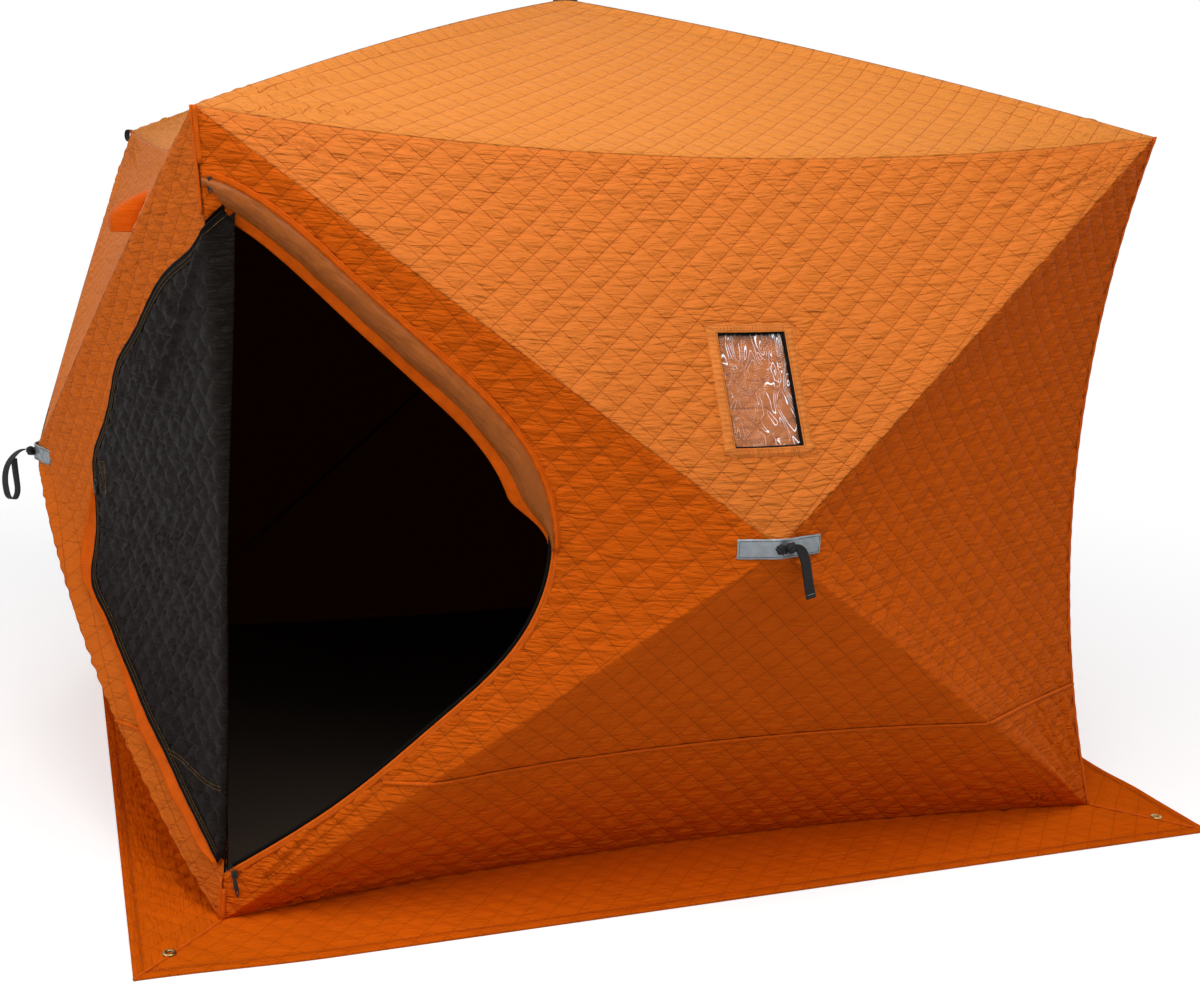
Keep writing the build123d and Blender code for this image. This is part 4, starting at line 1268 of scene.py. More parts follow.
class HUT_OT_walls(bpy.types.Operator):
    """Sews the four quilted walls: each a top piece, and one piece for its sides and bottom"""
    bl_idname = "hut.walls"
    bl_label = "Walls"
    bl_options = {"REGISTER", "UNDO"}

    def execute(self, context):
        made = cuts()
        for n, wall in enumerate(WALLS):
            cut = made[f"{wall}_sides"]
            outline = sides_outline(cut)
            hub, top_l, base_l, base_r, top_r = outline
            bm = grid_for(outline)
            for a, b in ((hub, base_l), (hub, base_r)):
                split_along(bm, a, b)
            bands = band_lines(cut)
            for a, b in bands:
                split_along(bm, a, b)
            trim(bm, outline, True)
            seams = [(hub, top_l), (top_l, base_l), (base_l, base_r), (base_r, top_r), (top_r, hub), *bands]
            nodes = [f"{wall}_wall_{side}_panel" for side in ("bottom", "right", "left")]
            if wall == "front":
                # The wall runs on past the corner above the folded door's head.
                doorway, _, _ = door_line("wall")
                head = [door_point("wall", a, b) for a, b in ((-0.06, 1.412), (0.0, 1.466), (0.040, 1.502))]
                later = (doorway[:, 0] > head[-1][0] + 0.012) | (np.arange(len(doorway)) > len(doorway) / 2)
                doorway = np.concatenate((head, doorway[later]))
                trim(bm, doorway, False)
                seams.append(doorway)
                nodes = nodes[:2] + ["front_wall_left_upper_panel", "front_wall_left_lower_panel"]
            # The folded door presses the padding flat along the corner of the wall under it.
            # The left wall's sides carry a little of the painted highlight.
            reach, painted_light, pressed = (0.15, 0.28, (base_r, top_r)) if wall == "left" else (0.07, 0.0, None)
            piece = lay_cloth(f"{wall}_wall_sides", cut, bm, seams, (0.0, 0.0), nodes, seed=10 + n,
                              fans=(base_l, base_r), taut=[(hub, b, reach) for b in (base_l, base_r)],
                              painted_light=painted_light, pressed=pressed)
            if wall == "front":
                outline = np.concatenate((outline[:2], door_run("wall"), outline[2:]))
            declare_cloth(outline)

            felled_seams(wall, cut, bands, (top_l, base_l), (base_r, top_r))
            wall_top(wall, made[f"{wall}_top"], 30 + n)
        return {"FINISHED"}


class HUT_OT_roof(bpy.types.Operator):
    """Sews the four quilted roof pieces over the roof poles"""
    bl_idname = "hut.roof"
    bl_label = "Roof"
    bl_options = {"REGISTER", "UNDO"}

    def execute(self, context):
        made = cuts()
        for n, wall in enumerate(WALLS):
            cut = made[f"roof_{wall}"]
            a, b = cut.triangles[0].ends()
            outline = np.array(((0, 0), a, b))
            bm = grid_for(outline)
            trim(bm, outline, True)
            seams = [(outline[0], a), (a, b), (b, outline[0])]
            if wall == "front":
                seams.append(((-0.16, -0.150), (0.16, -0.150)))
            # The roof carries the full painted highlight.
            piece = lay_cloth(f"roof_{wall}", cut, bm, seams, (0.0, 0.0),
                              [f"roof_{wall}_panel"], seed=50 + n, fans=(a, b), wrinkle=0.8, painted_light=1.0)
            declare_cloth(outline)
        return {"FINISHED"}


class HUT_OT_door(bpy.types.Operator):
    """Sews the door, unzipped and folded back on to the next wall with its lining outwards"""
    bl_idname = "hut.door"
    bl_label = "Door"
    bl_options = {"REGISTER", "UNDO"}

    def execute(self, context):
        door = FoldedDoor()
        whole, _, _ = door_line("flap", 0.013, wavy=0.003)
        base, top, fold_line = door.base, door.top, door.fold_line()
        bm = grid_for(whole)
        trim(bm, whole, True)
        away = door.out * -1.6
        trim(bm, np.concatenate((fold_line, fold_line[-1:] + away, fold_line[:1] + away)), True)
        band = band_lines(door.cut)[2]
        head, foot = door_point("flap", -0.03, 1.485), door_point("flap", 0.30, 1.10)

        def shape(q):
            """A long crease from the door's head, and the cloth turning over its fold and its edge."""
            crease = 0.009 * np.exp(-(to_segment(q, head, foot) / 0.009) ** 2)
            fold = -1.26 * np.clip(0.011 - to_line(q, fold_line), 0, 1) ** 1.25
            steep = ripples(q @ np.array(((0.62, -0.78), (0.78, 0.62))), 77, 0.019, 0.30)
            return crease + fold + 0.0021 * steep * fade(to_segment(q, base, top) - 0.05, 0.10)

        piece = lay_cloth("door_flap_cloth", door, bm, [whole, band], (0.0070, 0.0008), ["door_flap"],
                          seed=71, swap=True, wrinkle=1.6, extra=shape,
                          lined=lambda q: door.past_corner(q) > -0.012)
        on_cloth = door_run("flap", 0.013, wavy=0.003)
        declare_cloth(np.concatenate((on_cloth, [base + (top - base) * 0.05])))

        place = door.place
        edge = door_run("flap", 0.0, wavy=0.003)

        ribbon("door_zip_tape", edge, (-0.001, 0.021), place, [zip_tape()], TAPE, steps=6,
               replaces=["door_flap_zip_tape"], wave=lambda t, v: 0.0062 + 0.0022 * np.sin(math.pi * v) ** 0.5)
        ribbon("door_zip_coil", edge, (-0.0035, 0.0025), place, [zip_tape()], PLAIN, steps=4,
               wave=lambda t, v: 0.0072 + 0.0020 * np.sin(math.pi * v) + 0.0004 * np.sin(t * 1500))
        rows = [(door_run("flap", inset, wavy=0.003), height) for inset, height in ((0.0085, 0.0093), (0.0170, 0.0096))]
        stitches("door_edge_stitches", rows, place, sewing_thread())
        a, b = band
        seam_rows = []
        for shift in (-0.026, -0.018):
            line = np.linspace(a, b, 60)
            line[:, 1] += shift - 0.010 * np.sin(np.linspace(0, 9, 60))
            seam_rows.append((line[inside(line, whole) & (door.past_corner(line) < 0.004)], 0.0115))
        x, y = door_point("flap", 0.672, 0.885)
        end = door_point("flap", 0.640, 0.885)[0]
        box = np.array(((x, y), (end, y), (end, y - 0.075), (x, y - 0.075), (x, y), (end, y - 0.075)))
        seam_rows.append((box, 0.0125))
        stitches("door_seam_stitches", seam_rows, place, sewing_thread())

        # The storm flap sewn along the lower half of the door's edge curls away from it.
        lower = door_run("flap", 0.0, (0.5, 1.0), steps=220, wavy=0.003)
        t = np.linspace(0, 1, len(lower))
        wide = 0.004 + 0.058 * np.exp(-((t - 0.12) / 0.075) ** 2) + 0.022 * fade(t - 0.45, 0.15) * fade(1.02 - t, 0.1)

        def curl(u, v):
            return 0.0030 + 0.013 * (1 - v) ** 2.2 + 0.0018 * np.sin(u * 41 + 3 * v) * (1 - v)

        ribbon("door_storm_flap", lower, (-wide, 0.004), place, [storm_cloth()], PLAIN, steps=8,
               replaces=["door_flap_storm_flap"], wave=curl, hung_on="door_flap_cloth")
        return {"FINISHED"}


class HUT_OT_doorway(bpy.types.Operator):
    """Makes the zip, binding, stitching and storm flap round the doorway"""
    bl_idname = "hut.doorway"
    bl_label = "Doorway edge"
    bl_options = {"REGISTER", "UNDO"}

    def execute(self, context):
        s = sizes()
        place = door_side("wall")[0].place
        edge = door_run("wall", 0.0, corner=0.985)
        ribbon("doorway_zip", edge, (0.002, -s.zip_tape), place, [zip_tape()], PLAIN, steps=6,
               replaces=["doorway_zip_tape"], wave=lambda t, v: -0.0035 + 0.0012 * np.sin(math.pi * v))
        ribbon("doorway_zip_coil", edge, (-s.zip_tape + 0.0055, -s.zip_tape - 0.0005), place, [zip_tape()],
               PLAIN, steps=4,
               wave=lambda t, v: -0.0020 + 0.0018 * np.sin(math.pi * v) + 0.0004 * np.sin(t * 1500))
        ribbon("doorway_binding", edge, (0.0145, -0.0015), place, [seam_cloth()], PLAIN, steps=4,
               wave=lambda t, v: 0.0008 + 0.0008 * np.sin(math.pi * v) + 0.0003 * np.sin(t * 230 + 2 * v))
        rows = [(door_run("wall", -inset, corner=0.985), 0.0022) for inset in (0.0035, 0.0115)]
        stitches("doorway_stitches", rows, place, shell_thread())

        upper = door_run("wall", 0.0, (0.0, 0.505), steps=260, corner=0.997)
        t = np.linspace(0, 1, len(upper))
        belly = (0.95 + 0.25 * t) * fade(t + 0.02, 0.075) * fade(1 - t, 0.13)

        def hang(u, v):
            """Lies on the wall, swells over the zip and rolls in at its free edge."""
            swell = 0.0035 + 0.0075 * np.sin(math.pi * np.minimum(v * 1.15, 1)) ** 1.2
            roll = -0.012 * np.clip((v - 0.70) / 0.30, 0, 1) ** 1.6
            pull = 0.0020 * np.sin(u * 23 + 2.5 * v + 0.8) * v + 0.0010 * np.sin(u * 57 + 4 * v) * v
            return swell + roll + pull

        ribbon("storm_flap_cloth", upper, (0.003, -0.003 - 0.043 * belly), place, [shaded_flap_satin()],
               WEBBING, steps=12, replaces=["storm_flap"], wave=hang, hung_on="front_wall_sides")
        ribbon("storm_flap_lip", upper, (-0.001 - 0.031 * belly, -0.008 - 0.060 * belly), place, [storm_cloth()],
               PLAIN, steps=8, hung_on="front_wall_sides",
               wave=lambda u, v: -0.0065 - 0.009 * v ** 1.5 + 0.0016 * np.sin(u * 31 + 2 * v))
        ribbon("storm_flap_binding", upper, (0.015, -0.001), place, [storm_cloth()], PLAIN, steps=6,
               wave=lambda u, v: 0.0030 + 0.0034 * np.sin(math.pi * v) + 0.0007 * np.sin(u * 190 + 2 * v))
        top_rows = [(beside(upper, d), 0.0068) for d in (0.0125, 0.0035)]
        stitches("storm_flap_stitches", top_rows, place, shell_thread())
        return {"FINISHED"}


def frame_at(cut, q, ahead):
    """A matrix on the cloth at a pattern point: X ahead along the pattern, Z out of the cloth."""
    step = 0.004
    a, b = cut.place(np.array((q, q + unit(ahead) * step)))
    side = cut.place(np.array((q, q + unit(np.array((-ahead[1], ahead[0]))) * step)))[1]
    x = Vector(b - a).normalized()
    z = x.cross(Vector(side - a)).normalized()
    y = z.cross(x)
    made = Matrix((x, y, z)).transposed().to_4x4()
    made.translation = Vector(a)
    return made


def bevelled_block(bm, size, matrix, bevel):
    """Adds a block with rounded edges."""
    made = bmesh.ops.create_cube(bm, size=1.0, matrix=matrix @ Matrix.Diagonal((*size, 1)))
    edges = list({e for v in made["verts"] for e in v.link_edges})
    bmesh.ops.bevel(bm, geom=edges, offset=bevel, segments=3, affect="EDGES", profile=0.5, material=-1)


class HUT_OT_sliders(bpy.types.Operator):
    """Makes the zip sliders with their pulls"""
    bl_idname = "hut.sliders"
    bl_label = "Zip sliders"
    bl_options = {"REGISTER", "UNDO"}

    def execute(self, context):
        bm = bmesh.new()
        spots = (("wall", (0.014, 1.545), (0.018, 1.49), 0.005, 0.022),
                 ("wall", (0.030, 0.105), (0.045, 0.02), 0.004, 0.046),
                 ("flap", (0.704, 0.826), (0.700, 0.70), 0.010, 0.030))
        for side, at, toward, height, length in spots:
            cut, _ = door_side(side)
            q, q2 = door_point(side, *at), door_point(side, *toward)
            here = frame_at(cut, q, q2 - q) @ Matrix.Translation((0, 0, height))
            # The body's two wings and the bridge that holds the pull.
            bevelled_block(bm, (0.017, 0.0125, 0.0030), here, 0.0012)
            bevelled_block(bm, (0.014, 0.0105, 0.0026), here @ Matrix.Translation((0, 0, -0.0042)), 0.0010)
            bevelled_block(bm, (0.0115, 0.0034, 0.0050), here @ Matrix.Translation((0, 0, 0.0028)), 0.0015)
            # The pull hangs from the bridge: a flat tab with a slot through it.
            tab = here @ Matrix.Translation((0.004 + length / 2, 0, 0.0042)) @ Matrix.Rotation(0.10, 4, "Y")
            ring = bmesh.ops.create_circle(bm, segments=28, radius=1.0,
                                           matrix=tab @ Matrix.Diagonal((length / 2, 0.0046, 1, 1)))
            edges = list({e for v in ring["verts"] for e in v.link_edges})
            inner = bmesh.ops.extrude_edge_only(bm, edges=edges)
            loop = [v for v in inner["geom"] if isinstance(v, bmesh.types.BMVert)]
            hole = tab @ Matrix.Translation((length * 0.30, 0, 0)) @ Matrix.Diagonal((length * 0.12, 0.0022, 1, 1))
            for v in loop:
                local = tab.inverted() @ v.co
                angle = math.atan2(local.y / 0.0046, local.x / (length / 2))
                v.co = hole @ Vector((math.cos(angle), math.sin(angle), 0))
            faces = list({f for v in loop for f in v.link_faces})
            bmesh.ops.recalc_face_normals(bm, faces=faces)
            bmesh.ops.solidify(bm, geom=faces, thickness=0.0022)
        bmesh.ops.recalc_face_normals(bm, faces=bm.faces[:])
        finished("zip_slider_set", mesh_from(bm, "zip_slider_set"), [moulded_nylon()],
                 ["zip_sliders"], smooth=False)
        return {"FINISHED"}


def window_vinyl(wall, place):
    """The clear sheet, which bends softly between its sewn edges."""
    s = sizes()
    bm = bmesh.new()
    bmesh.ops.create_grid(bm, x_segments=44, y_segments=70, size=0.5, matrix=Matrix.Translation((0.5, 0.5, 0)))
    mesh = mesh_from(bm, f"{wall}_window_vinyl")
    uv = read_points(mesh)[:, :2]
    span = np.array((s.window_width + 0.006, s.window_height + 0.006))
    q = (uv - 0.5) * span + (s.off_centre, s.window_up)
    loose = fade(np.minimum(np.minimum(uv[:, 0], 1 - uv[:, 0]), np.minimum(uv[:, 1], 1 - uv[:, 1])), 0.12)
    bend = ripples(q @ np.array(((0.35, -0.94), (0.94, 0.35))), 91, 0.035, 0.16, waves=9)
    write_points(mesh, place(q, -0.0030 + 0.0017 * bend * loose))
    write_uv(mesh, q)
    pane = finished(mesh.name, mesh, [clear_vinyl()], ["window_panes"])
    give_thickness(pane, 0.0005)


class HUT_OT_windows(bpy.types.Operator):
    """Makes the two windows: a puckered band, a black edge, wrinkled vinyl and the cover behind it"""
    bl_idname = "hut.windows"
    bl_label = "Windows"
    bl_options = {"REGISTER", "UNDO"}

    def execute(self, context):
        s = sizes()
        made = cuts()

        # The edge of the window, anticlockwise from the middle of its foot; corner is longer at its corners.
        around = window_outline()
        around = np.concatenate(([around[:2].mean(0)], around[1:], around[:1], [around[:2].mean(0)]))
        runs = [np.linspace(p, q, 80, endpoint=False) for p, q in zip(around, around[1:])]
        route = np.concatenate(runs + [around[-1:]])
        corner = np.ones(len(route))
        corner[80:-1:80] = math.sqrt(2)
        for wall in ("front", "back"):
            cut = made[f"{wall}_top"]
            place = cut.place

            def band_rise(t, v):
                """The band comes out of the quilting, gathered into fine puckers by its stitching."""
                pucker = 0.0015 * np.sin(2 * math.pi * t * 112 + 2.0 * np.sin(t * 60)) * np.sin(math.pi * v)
                return -0.0014 + 0.0044 * fade(v, 0.4) + pucker

            ribbon(f"{wall}_window_band", route, (-s.window_band * corner, 0.0), place, [storm_band()],
                   PLAIN, steps=9, replaces=["window_frames"], wave=band_rise)
            # Rows of thread run level over and under the window, past its sides.
            rows, reach = [(beside(route, -0.0045), 0.0042)], s.window_width / 2 + 0.030
            for side in (-1, 1):
                for gap in (0.009, 0.016, 0.024):
                    level = s.window_up + side * (s.window_height / 2 + gap)
                    row = ((-reach, level), (-reach / 3, level + 0.002), (reach / 3, level + 0.001), (reach, level))
                    rows.append((np.array(row) + (s.off_centre, 0), 0.0040))
            stitches(f"{wall}_window_stitches", rows, place, shell_thread(), pitch=0.0046)
            # The black edge is partly a painted shadow: it is drawn wider at the right and at the foot, where shade
            # falls in the gap.
            x, y = ((route - (s.off_centre, s.window_up)) / (s.window_width / 2, s.window_height / 2)).T
            edge_and_shadow_width = 0.0018 + 0.0030 * fade(x - 0.85, 0.1) + 0.0016 * fade(-y - 0.9, 0.08) + 0.0008 * fade(y - 0.9, 0.08)
            ribbon(f"{wall}_window_edge_and_shadow", route, (-0.0008, edge_and_shadow_width * corner), place, [zip_tape()], TAPE,
                   steps=4, wave=lambda t, v: 0.0034 - 0.0040 * v + 0.0008 * np.sin(math.pi * v))

            window_vinyl(wall, place)
            cover_line = window_outline(0.026)
            bm = grid_for(cover_line)
            trim(bm, cover_line, True)
            # The cover behind the vinyl carries most of the painted highlight.
            cover = lay_cloth(f"{wall}_window_cover", cut, bm, [np.concatenate((cover_line, cover_line[:1]))],
                              (-0.0135, -0.0165), ["window_covers"], seed=93, painted_light=0.7)
            declare_cloth(cover_line)
        return {"FINISHED"}


def hub_patch(wall, spin):
    """The reflective patch over a wall hub, with its stitched border."""
    s = sizes()

    def drape(q, rise):
        """Bends the patch over the point of the cloth, where the four panels meet."""
        x, z = q[:, 0], q[:, 1] - 0.002 * np.abs(q[:, 0]) / 0.05
        soft = np.sqrt(x * x + 0.007 ** 2) - 0.007
        lean = np.where(z > 0, 0.30 * z, -0.36 * z)
        out = HUB_OUT + 0.0072 - 0.400 * soft - 0.30 * np.abs(lean) + np.asarray(rise)
        return np.stack((x, -out, z + HUB_HEIGHT), 1) @ spin.T

    half = s.patch_width / 2
    route = level_route(70, -half, half) + (s.off_centre, 0)
    ribbon(f"{wall}_hub_patch", route, (-s.patch_height / 2, s.patch_height / 2), drape,
           [reflective_tape()], 0.0009, steps=14, replaces=["hub_patches"],
           wave=lambda t, v: 0.0012 * np.sin(t * 19 + 3 * v) * np.sin(math.pi * t)
           + 0.0010 * np.sin(t * 44 + v * 5) * np.sin(math.pi * v))
    border = np.array([(-half + 0.004, -0.017), (half - 0.004, -0.017), (half - 0.004, 0.017),
                       (-half + 0.004, 0.017), (-half + 0.004, -0.017)])
    run = np.concatenate([np.linspace(a, b, 40) for a, b in zip(border, border[1:])]) + (s.off_centre, 0)
    stitches(f"{wall}_patch_stitches", [(run, 0.0012)], drape, zip_tape(), pitch=0.0048)


def strap_knot(wall, turn):
    """Two turns of webbing pulled tight round the hub's bolt."""
    bm = bmesh.new()
    for dx, dz, dy, size, tilt in ((-0.004, 0.000, 0.013, 0.0110, 0.5), (0.017, 0.004, 0.016, 0.0118, -0.6),
                                  (0.006, -0.001, 0.011, 0.0088, 0.2)):
        at = Matrix.Translation((dx, -HUB_OUT - dy, HUB_HEIGHT + dz)) @ Matrix.Rotation(tilt, 4, "Y")
        ball = bmesh.ops.create_icosphere(bm, subdivisions=4, radius=size,
                                          matrix=at @ Matrix.Diagonal((1.0, 0.8, 0.95, 1)))
        middle = at.translation
        for v in ball["verts"]:
            d = v.co - middle
            v.co += d.normalized() * 0.0013 * math.sin(d.x * 520 + d.z * 760 * math.copysign(1, tilt))
    bm.transform(Matrix.Rotation(turn, 4, "Z"))
    bmesh.ops.recalc_face_normals(bm, faces=bm.faces[:])
    finished(f"{wall}_strap_knot", mesh_from(bm, f"{wall}_strap_knot"), [pull_webbing()])


def pull_strap(wall, spin):
    """The strap leaves the knot and hangs down; its route is (sideways, out, up) from the hub.

    On the sides it springs clear of the wall and twists, so its loop stands open."""
    twist = 0.75
    if wall == "front":
        leaves = [((0.014, 0.020, 0.005), (0.029, 0.024, 0.004), (0.043, 0.022, -0.012),
                   (0.054, 0.018, -0.042), (0.063, 0.013, -0.075), (0.071, 0.012, -0.107))]
        leaves.append(tuple((x + 0.0006, y - 0.0030, z) for x, y, z in leaves[0]))
    elif wall == "back":
        leaves = [((0.0, 0.018, 0.0), (0.0, 0.030, -0.002), (0.001, 0.033, -0.020), (0.003, 0.026, -0.055),
                   (0.004, 0.020, -0.085), (0.005, 0.019, -0.112))]
        leaves.append(tuple((x + 0.0006, y - 0.0030, z) for x, y, z in leaves[0]))
    else:
        flat = (((0.010, 0.000), (0.026, 0.005), (0.044, 0.000), (0.060, -0.010), (0.080, -0.030),
                 (0.091, -0.062), (0.089, -0.098), (0.080, -0.119), (0.066, -0.124), (0.055, -0.112),
                 (0.053, -0.085), (0.057, -0.050), (0.060, -0.016)),)
        leaves = [[((o - 0.05) * math.sin(twist) * min(1.0, max(0.0, (o - 0.03) / 0.02)),
                    o if o < 0.05 else 0.05 + (o - 0.05) * math.cos(twist), u) for o, u in f] for f in flat]
    for leaf, points in enumerate(leaves):
        count = 44 if wall in ("front", "back") else 120
        line = smooth_route(points, count)
        broad = None if wall in ("front", "back") else np.array((math.cos(twist), -math.sin(twist), 0.0))

        def strap_place(q, rise, line=line, broad=broad):
            at, run = along(line, q[:, 0]), along(np.gradient(line, axis=0), q[:, 0])
            run /= np.linalg.norm(run, axis=1)[:, None]
            side = np.cross(run, (0.0, 1.0, 0.0)) if broad is None else np.broadcast_to(broad, run.shape)
            side = side / np.maximum(np.linalg.norm(side, axis=1), 1e-6)[:, None]
            face = np.cross(side, run)
            narrow = 0.55 + 0.45 * fade(q[:, 0], 0.22)
            at = at + side * (q[:, 1] * narrow)[:, None] - face * np.asarray(rise * np.ones(len(q)))[:, None]
            return np.stack((at[:, 0], -HUB_OUT - at[:, 1], HUB_HEIGHT + at[:, 2]), 1) @ spin.T

        half = sizes().strap_width / 2
        strap = ribbon(f"{wall}_pull_strap_{leaf + 1}", level_route(count), (-half, half),
                       strap_place, [pull_webbing()], WEBBING, steps=8, replaces=["pull_straps"],
                       wave=lambda t, v: 0.0008 * np.sin(t * 9 + 2 * v))
        uv = strap.data.uv_layers[0]
        length = np.linalg.norm(np.diff(line, axis=0), axis=1).sum()
        flat_uv = np.zeros(len(strap.data.loops) * 2)
        uv.data.foreach_get("uv", flat_uv)
        uv.data.foreach_set("uv", (flat_uv.reshape(-1, 2) * np.array((length, 1.0))).ravel())
        if leaf == 0 and wall in ("front", "back"):
            row = np.array(((0.935, -0.0085), (0.935, 0.0085)))
            stitches(f"{wall}_strap_tack", [(row, -0.0012)], strap_place, pale_thread(),
                     pitch=0.0034, length=0.0026)


class HUT_OT_hub_outsides(bpy.types.Operator):
    """Makes the reflective patch, the knot and the pull strap over each wall hub"""
    bl_idname = "hut.hub_outsides"
    bl_label = "Patches and pull straps"
    bl_options = {"REGISTER", "UNDO"}

    def execute(self, context):
        for wall, turn in TURNS.items():
            spin = np.array(Matrix.Rotation(turn, 3, "Z"))
            hub_patch(wall, spin)
            strap_knot(wall, turn)
            pull_strap(wall, spin)
        return {"FINISHED"}


class Ground:
    """Places the pattern of one skirt strip: flat on the ground, turned to its wall."""

    def __init__(self, turn):
        self.turn = np.array(Matrix.Rotation(turn, 3, "Z"))

    def place(self, q, rise=0.0):
        laid = np.stack((q[:, 0], q[:, 1], np.broadcast_to(rise, len(q))), 1) @ self.turn.T
        # The front strip was pulled out a little further than the others.
        far = np.clip((-laid[:, 1] - BASE_HALF) / SKIRT_WIDTH, 0, 1)
        laid[:, 1] -= far * (0.008 + 0.018 * fade(laid[:, 0] + BASE_HALF + SKIRT_WIDTH, 0.4))
        return laid


def grommet_rings():
    """A rolled brass ring spun from its profile, one at each corner."""
    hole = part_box("anchor_grommets")[1].x - GROMMET_RADIUS
    bm = bmesh.new()
    for sx in (-1, 1):
        for sy in (-1, 1):
            profile = [(0.0062, 0.0002), (0.0062, 0.0072), (0.0074, 0.0086), (0.0094, 0.0090), (0.0120, 0.0084),
                       (0.0138, 0.0070), (0.0140, 0.0058), (0.0118, 0.0052), (0.0088, 0.0048), (0.0084, 0.0002)]
            verts = [bm.verts.new((sx * hole + r, sy * hole, z)) for r, z in profile]
            edges = [bm.edges.new((a, b)) for a, b in zip(verts, verts[1:] + verts[:1])]
            bmesh.ops.spin(bm, geom=verts + edges, cent=(sx * hole, sy * hole, 0), axis=(0, 0, 1),
                           angle=2 * math.pi, steps=40, use_merge=True)
    bmesh.ops.remove_doubles(bm, verts=bm.verts[:], dist=1e-6)
    bmesh.ops.recalc_face_normals(bm, faces=bm.faces[:])
    finished("grommet_rings", mesh_from(bm, "grommet_rings"), [stamped_brass()], ["anchor_grommets"])


class HUT_OT_skirt(bpy.types.Operator):
    """Sews the quilted skirt that lies on the ground, with its hem and mitred corners"""
    bl_idname = "hut.skirt"
    bl_label = "Skirt"
    bl_options = {"REGISTER", "UNDO"}

    def execute(self, context):
        s = sizes()
        far = BASE_HALF + SKIRT_WIDTH
        radius = (BASE_HALF ** 2 + BASE_SAG ** 2) / (2 * BASE_SAG)
        x = np.linspace(-BASE_HALF, BASE_HALF, 41)
        arc = np.stack((x, -BASE_HALF + np.sqrt(radius ** 2 - x ** 2) - (radius - BASE_SAG)), 1)
        arc[:, 1] += 0.003
        for n, (wall, turn) in enumerate(TURNS.items()):
            outline = np.concatenate((arc[::-1], [(-far, -far), (far, -far)]))
            corner_l, corner_r = outline[-2], outline[-1]
            bm = grid_for(outline)
            split_along(bm, corner_l + (0, s.hem), corner_r + (0, s.hem))
            trim(bm, outline, True)
            hem = (corner_l + (s.hem, s.hem), corner_r + (-s.hem, s.hem))
            mitres = ((arc[0], corner_l), (arc[-1], corner_r))

            def lie(q, n=n):
                """The hem lies flat and a little thicker, and the strip lifts in slow waves."""
                edge = np.abs(q[:, 1] + far)
                band = 1 - fade(edge - s.hem + 0.002, 0.004)
                lift = (0.5 + 0.5 * ripples(q * (1, 0.4), 120 + n, 5.0, 0.55, waves=5)) * fade(1 - edge / 0.16, 1.0)
                up = 0.0045 * np.clip(lift, 0, 1.4) * fade(far - np.abs(q[:, 0]), 0.25)
                fine = 0.0008 * ripples(q, 140 + n, 0.026, 0.09) + 0.0010 * ripples(q, 160 + n, 0.016, 0.10)
                if n == 3:
                    # The left strip is the most crumpled.
                    near = fade(edge - s.hem, 0.05) * fade(far - np.abs(q[:, 0]) - 0.12, 0.25)
                    fine += near * (0.0034 * ripples(q, 171, 0.055, 0.050) + 0.0016 * ripples(q, 172, 0.020, 0.022))
                return 0.0012 * band + up + fine * fade(edge, 0.02)

            piece = lay_cloth(f"{wall}_skirt_cloth", Ground(turn), bm, [hem, *mitres], (0.0035, 0.0004),
                              [f"{wall}_skirt"], seed=110 + n, wrinkle=0.5, extra=lie, flat_hem=(far, s.hem),
                              shell=quilted_skirt())
            declare_cloth(outline)
            row = np.linspace(hem[0], hem[1], 500)
            t = np.linspace(0, 1, 60)[:, None]
            mitre = corner_r + (arc[-1] - corner_r) * t + (0.004, -0.004) * np.sin(9 * t)
            ribbon(f"{wall}_skirt_mitre", mitre, (-0.0036, 0.0036), Ground(turn).place, [seam_cloth()], TAPE,
                   steps=4, wave=lambda t, v: 0.0036 + 0.0026 * np.sin(math.pi * v))
            stitches(f"{wall}_skirt_stitches", [(row, 0.0068), (row - (0, 0.004), 0.0068)], Ground(turn).place,
                     shell_thread(), pitch=0.0062, length=0.0042)

        grommet_rings()
        return {"FINISHED"}


class HUT_OT_vents(bpy.types.Operator):
    """Sews the hooded vents on the left and right walls"""
    bl_idname = "hut.vents"
    bl_label = "Vents"
    bl_options = {"REGISTER", "UNDO"}

    def execute(self, context):
        for side, turn in (("left", 0.0), ("right", math.pi)):
            spin = np.array(Matrix.Rotation(turn, 3, "Z"))
            cut = cuts()[f"{side}_top"]
            triangle = cut.triangles[0]
            profile = smooth_route([(0.004, 1.508), (0.036, 1.497), (0.072, 1.472), (0.094, 1.447), (0.090, 1.424),
                                    (0.080, 1.404)], 26)

            def hood(q, rise):
                """A stiffened hood: out from the wall by its profile, closed against the wall at its ends."""
                out, up = along(profile, q[:, 0]).T
                end = np.clip((0.075 - np.abs(q[:, 1])) / 0.012, 0, 1)
                wall = 1.1225 + 0.0375 * (1.508 - up) / 0.104
                out = wall + out * end ** 0.5 * 0.86 + np.asarray(rise)
                return np.stack((-out, q[:, 1], up), 1) @ spin.T

            ribbon(f"{side}_vent_hood", level_route(52), (-0.075, 0.075), hood, [storm_cloth()], 0.0026,
                   steps=60, replaces=["vent_hoods"], hung_on=f"{side}_wall_top",
                   wave=lambda t, v: 0.0012 * np.sin(v * 21 + t * 4) * np.sin(math.pi * t) + 0.0010 * np.sin(v * 47))
            bm = bmesh.new()
            bmesh.ops.create_grid(bm, x_segments=20, y_segments=10, size=0.5)
            mesh = mesh_from(bm, f"{side}_vent_net")
            uv = read_points(mesh)[:, :2]
            drawn = np.stack((uv[:, 0] * 0.128, uv[:, 1] * 0.064 + 1.436), 1)
            ahead = np.array((0, -1.0 if side == "left" else 1.0, 0))
            q = triangle.from_plane(drawn, np.zeros(3), ahead, UP)
            write_points(mesh, cut.place(q, 0.0065))
            write_uv(mesh, drawn)
            net = finished(mesh.name, mesh, [vent_net()], ["vent_meshes"])
            give_thickness(net, 0.0008)
        return {"FINISHED"}


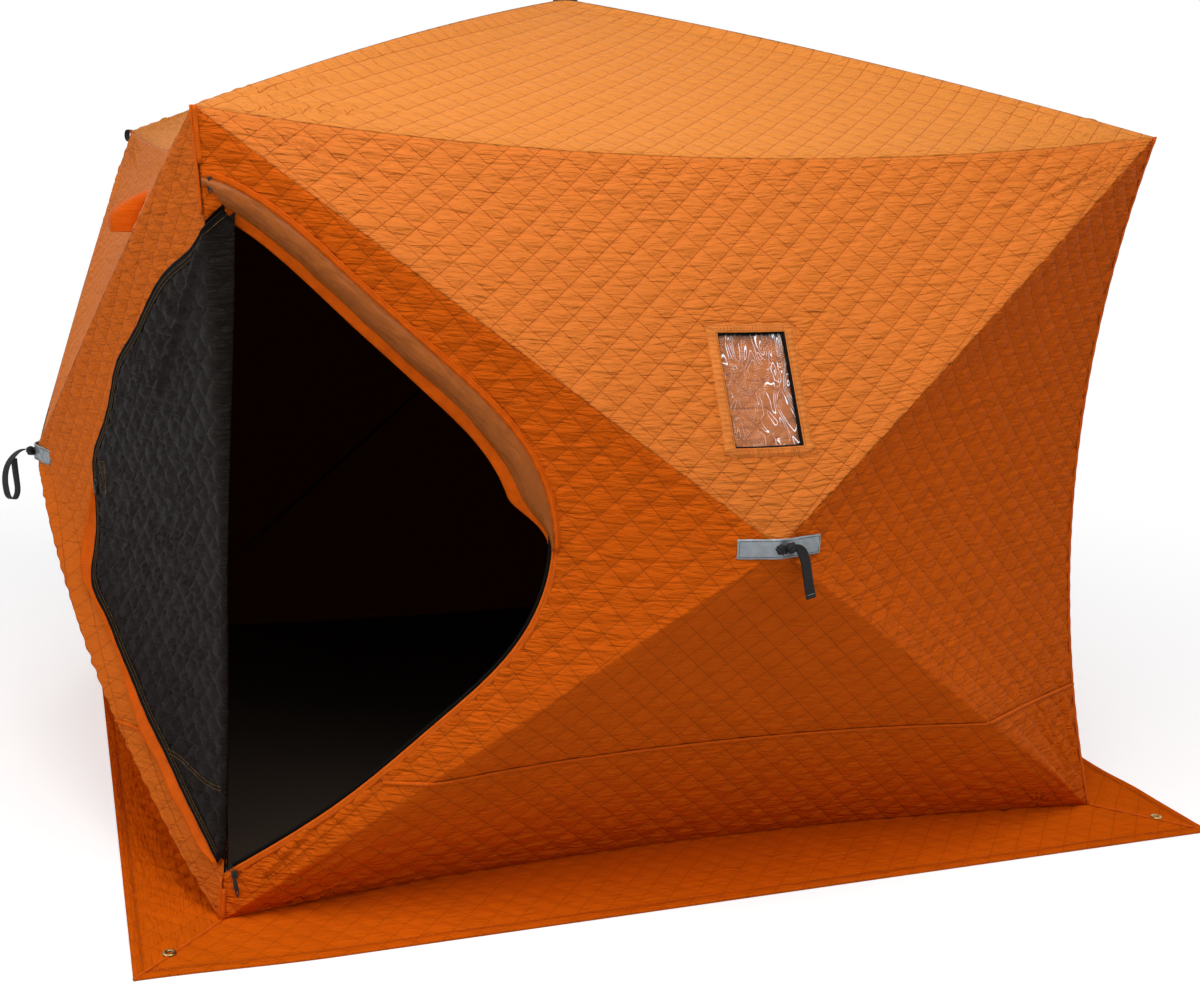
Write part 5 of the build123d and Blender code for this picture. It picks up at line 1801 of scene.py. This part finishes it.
class HUT_OT_frame(bpy.types.Operator):
    """Finishes the poles, hubs and corner fittings, and makes the webbing tabs at the back corners"""
    bl_idname = "hut.frame"
    bl_label = "Poles and fittings"
    bl_options = {"REGISTER", "UNDO"}

    def execute(self, context):
        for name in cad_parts:
            if name.endswith("_poles"):
                finish_frame_piece(name, glass_rod())
        for name in ("wall_hubs", "roof_hub", "roof_hub_cap", "corner_fittings"):
            finish_frame_piece(name, moulded_nylon())
        for sx in (-1, 1):
            corner = top_corner(sx, 1)
            out = unit(np.array((sx, 0.9, 0)))
            side = np.array((-out[1], out[0], 0))
            line = smooth_route([(0.000, 0.002), (0.010, 0.001), (0.016, -0.008), (0.0165, -0.020), (0.012, -0.031),
                                 (0.004, -0.034), (0.0005, -0.030)], 40)

            def loop(q, rise, out=out, side=side, corner=corner, line=line):
                away, down = along(line, q[:, 0]).T
                return corner + (away[:, None] + 0.002) * out + q[:, 1:2] * side + down[:, None] * UP

            ribbon(f"{'left' if sx < 0 else 'right'}_corner_tab", level_route(40), (-0.0125, 0.0125), loop,
                   [pull_webbing()], WEBBING, steps=8, replaces=["back_corner_tabs"])
        return {"FINISHED"}


class HUT_PT_panel(bpy.types.Panel):
    """Lists the pieces of the hut with their sizes and colours"""
    bl_idname = "HUT_PT_panel"
    bl_label = "Ice fishing hut"
    bl_space_type = "VIEW_3D"
    bl_region_type = "UI"
    bl_category = "Hut"

    def draw(self, context):
        layout = self.layout
        for group in (context.scene.hut_sizes, context.scene.hut_colours):
            box = layout.box()
            for key in group.bl_rna.properties.keys():
                if key not in ("rna_type", "name"):
                    box.prop(group, key)
        for operator in PIECES:
            layout.operator(operator.bl_idname)


PIECES = (HUT_OT_stage, HUT_OT_walls, HUT_OT_roof, HUT_OT_door, HUT_OT_doorway, HUT_OT_sliders, HUT_OT_windows,
          HUT_OT_hub_outsides, HUT_OT_skirt, HUT_OT_vents, HUT_OT_frame)
CLASSES = (HutSizes, HutColours, *PIECES, HUT_PT_panel)


def register():
    for cls in CLASSES:
        bpy.utils.register_class(cls)
    bpy.types.Scene.hut_sizes = PointerProperty(type=HutSizes)
    bpy.types.Scene.hut_colours = PointerProperty(type=HutColours)


def unregister():
    del bpy.types.Scene.hut_colours
    del bpy.types.Scene.hut_sizes
    for cls in reversed(CLASSES):
        bpy.utils.unregister_class(cls)


def main():
    register()
    for operator in PIECES:
        group, name = operator.bl_idname.split(".")
        getattr(getattr(bpy.ops, group), name)()


if __name__ == "__main__":
    main()
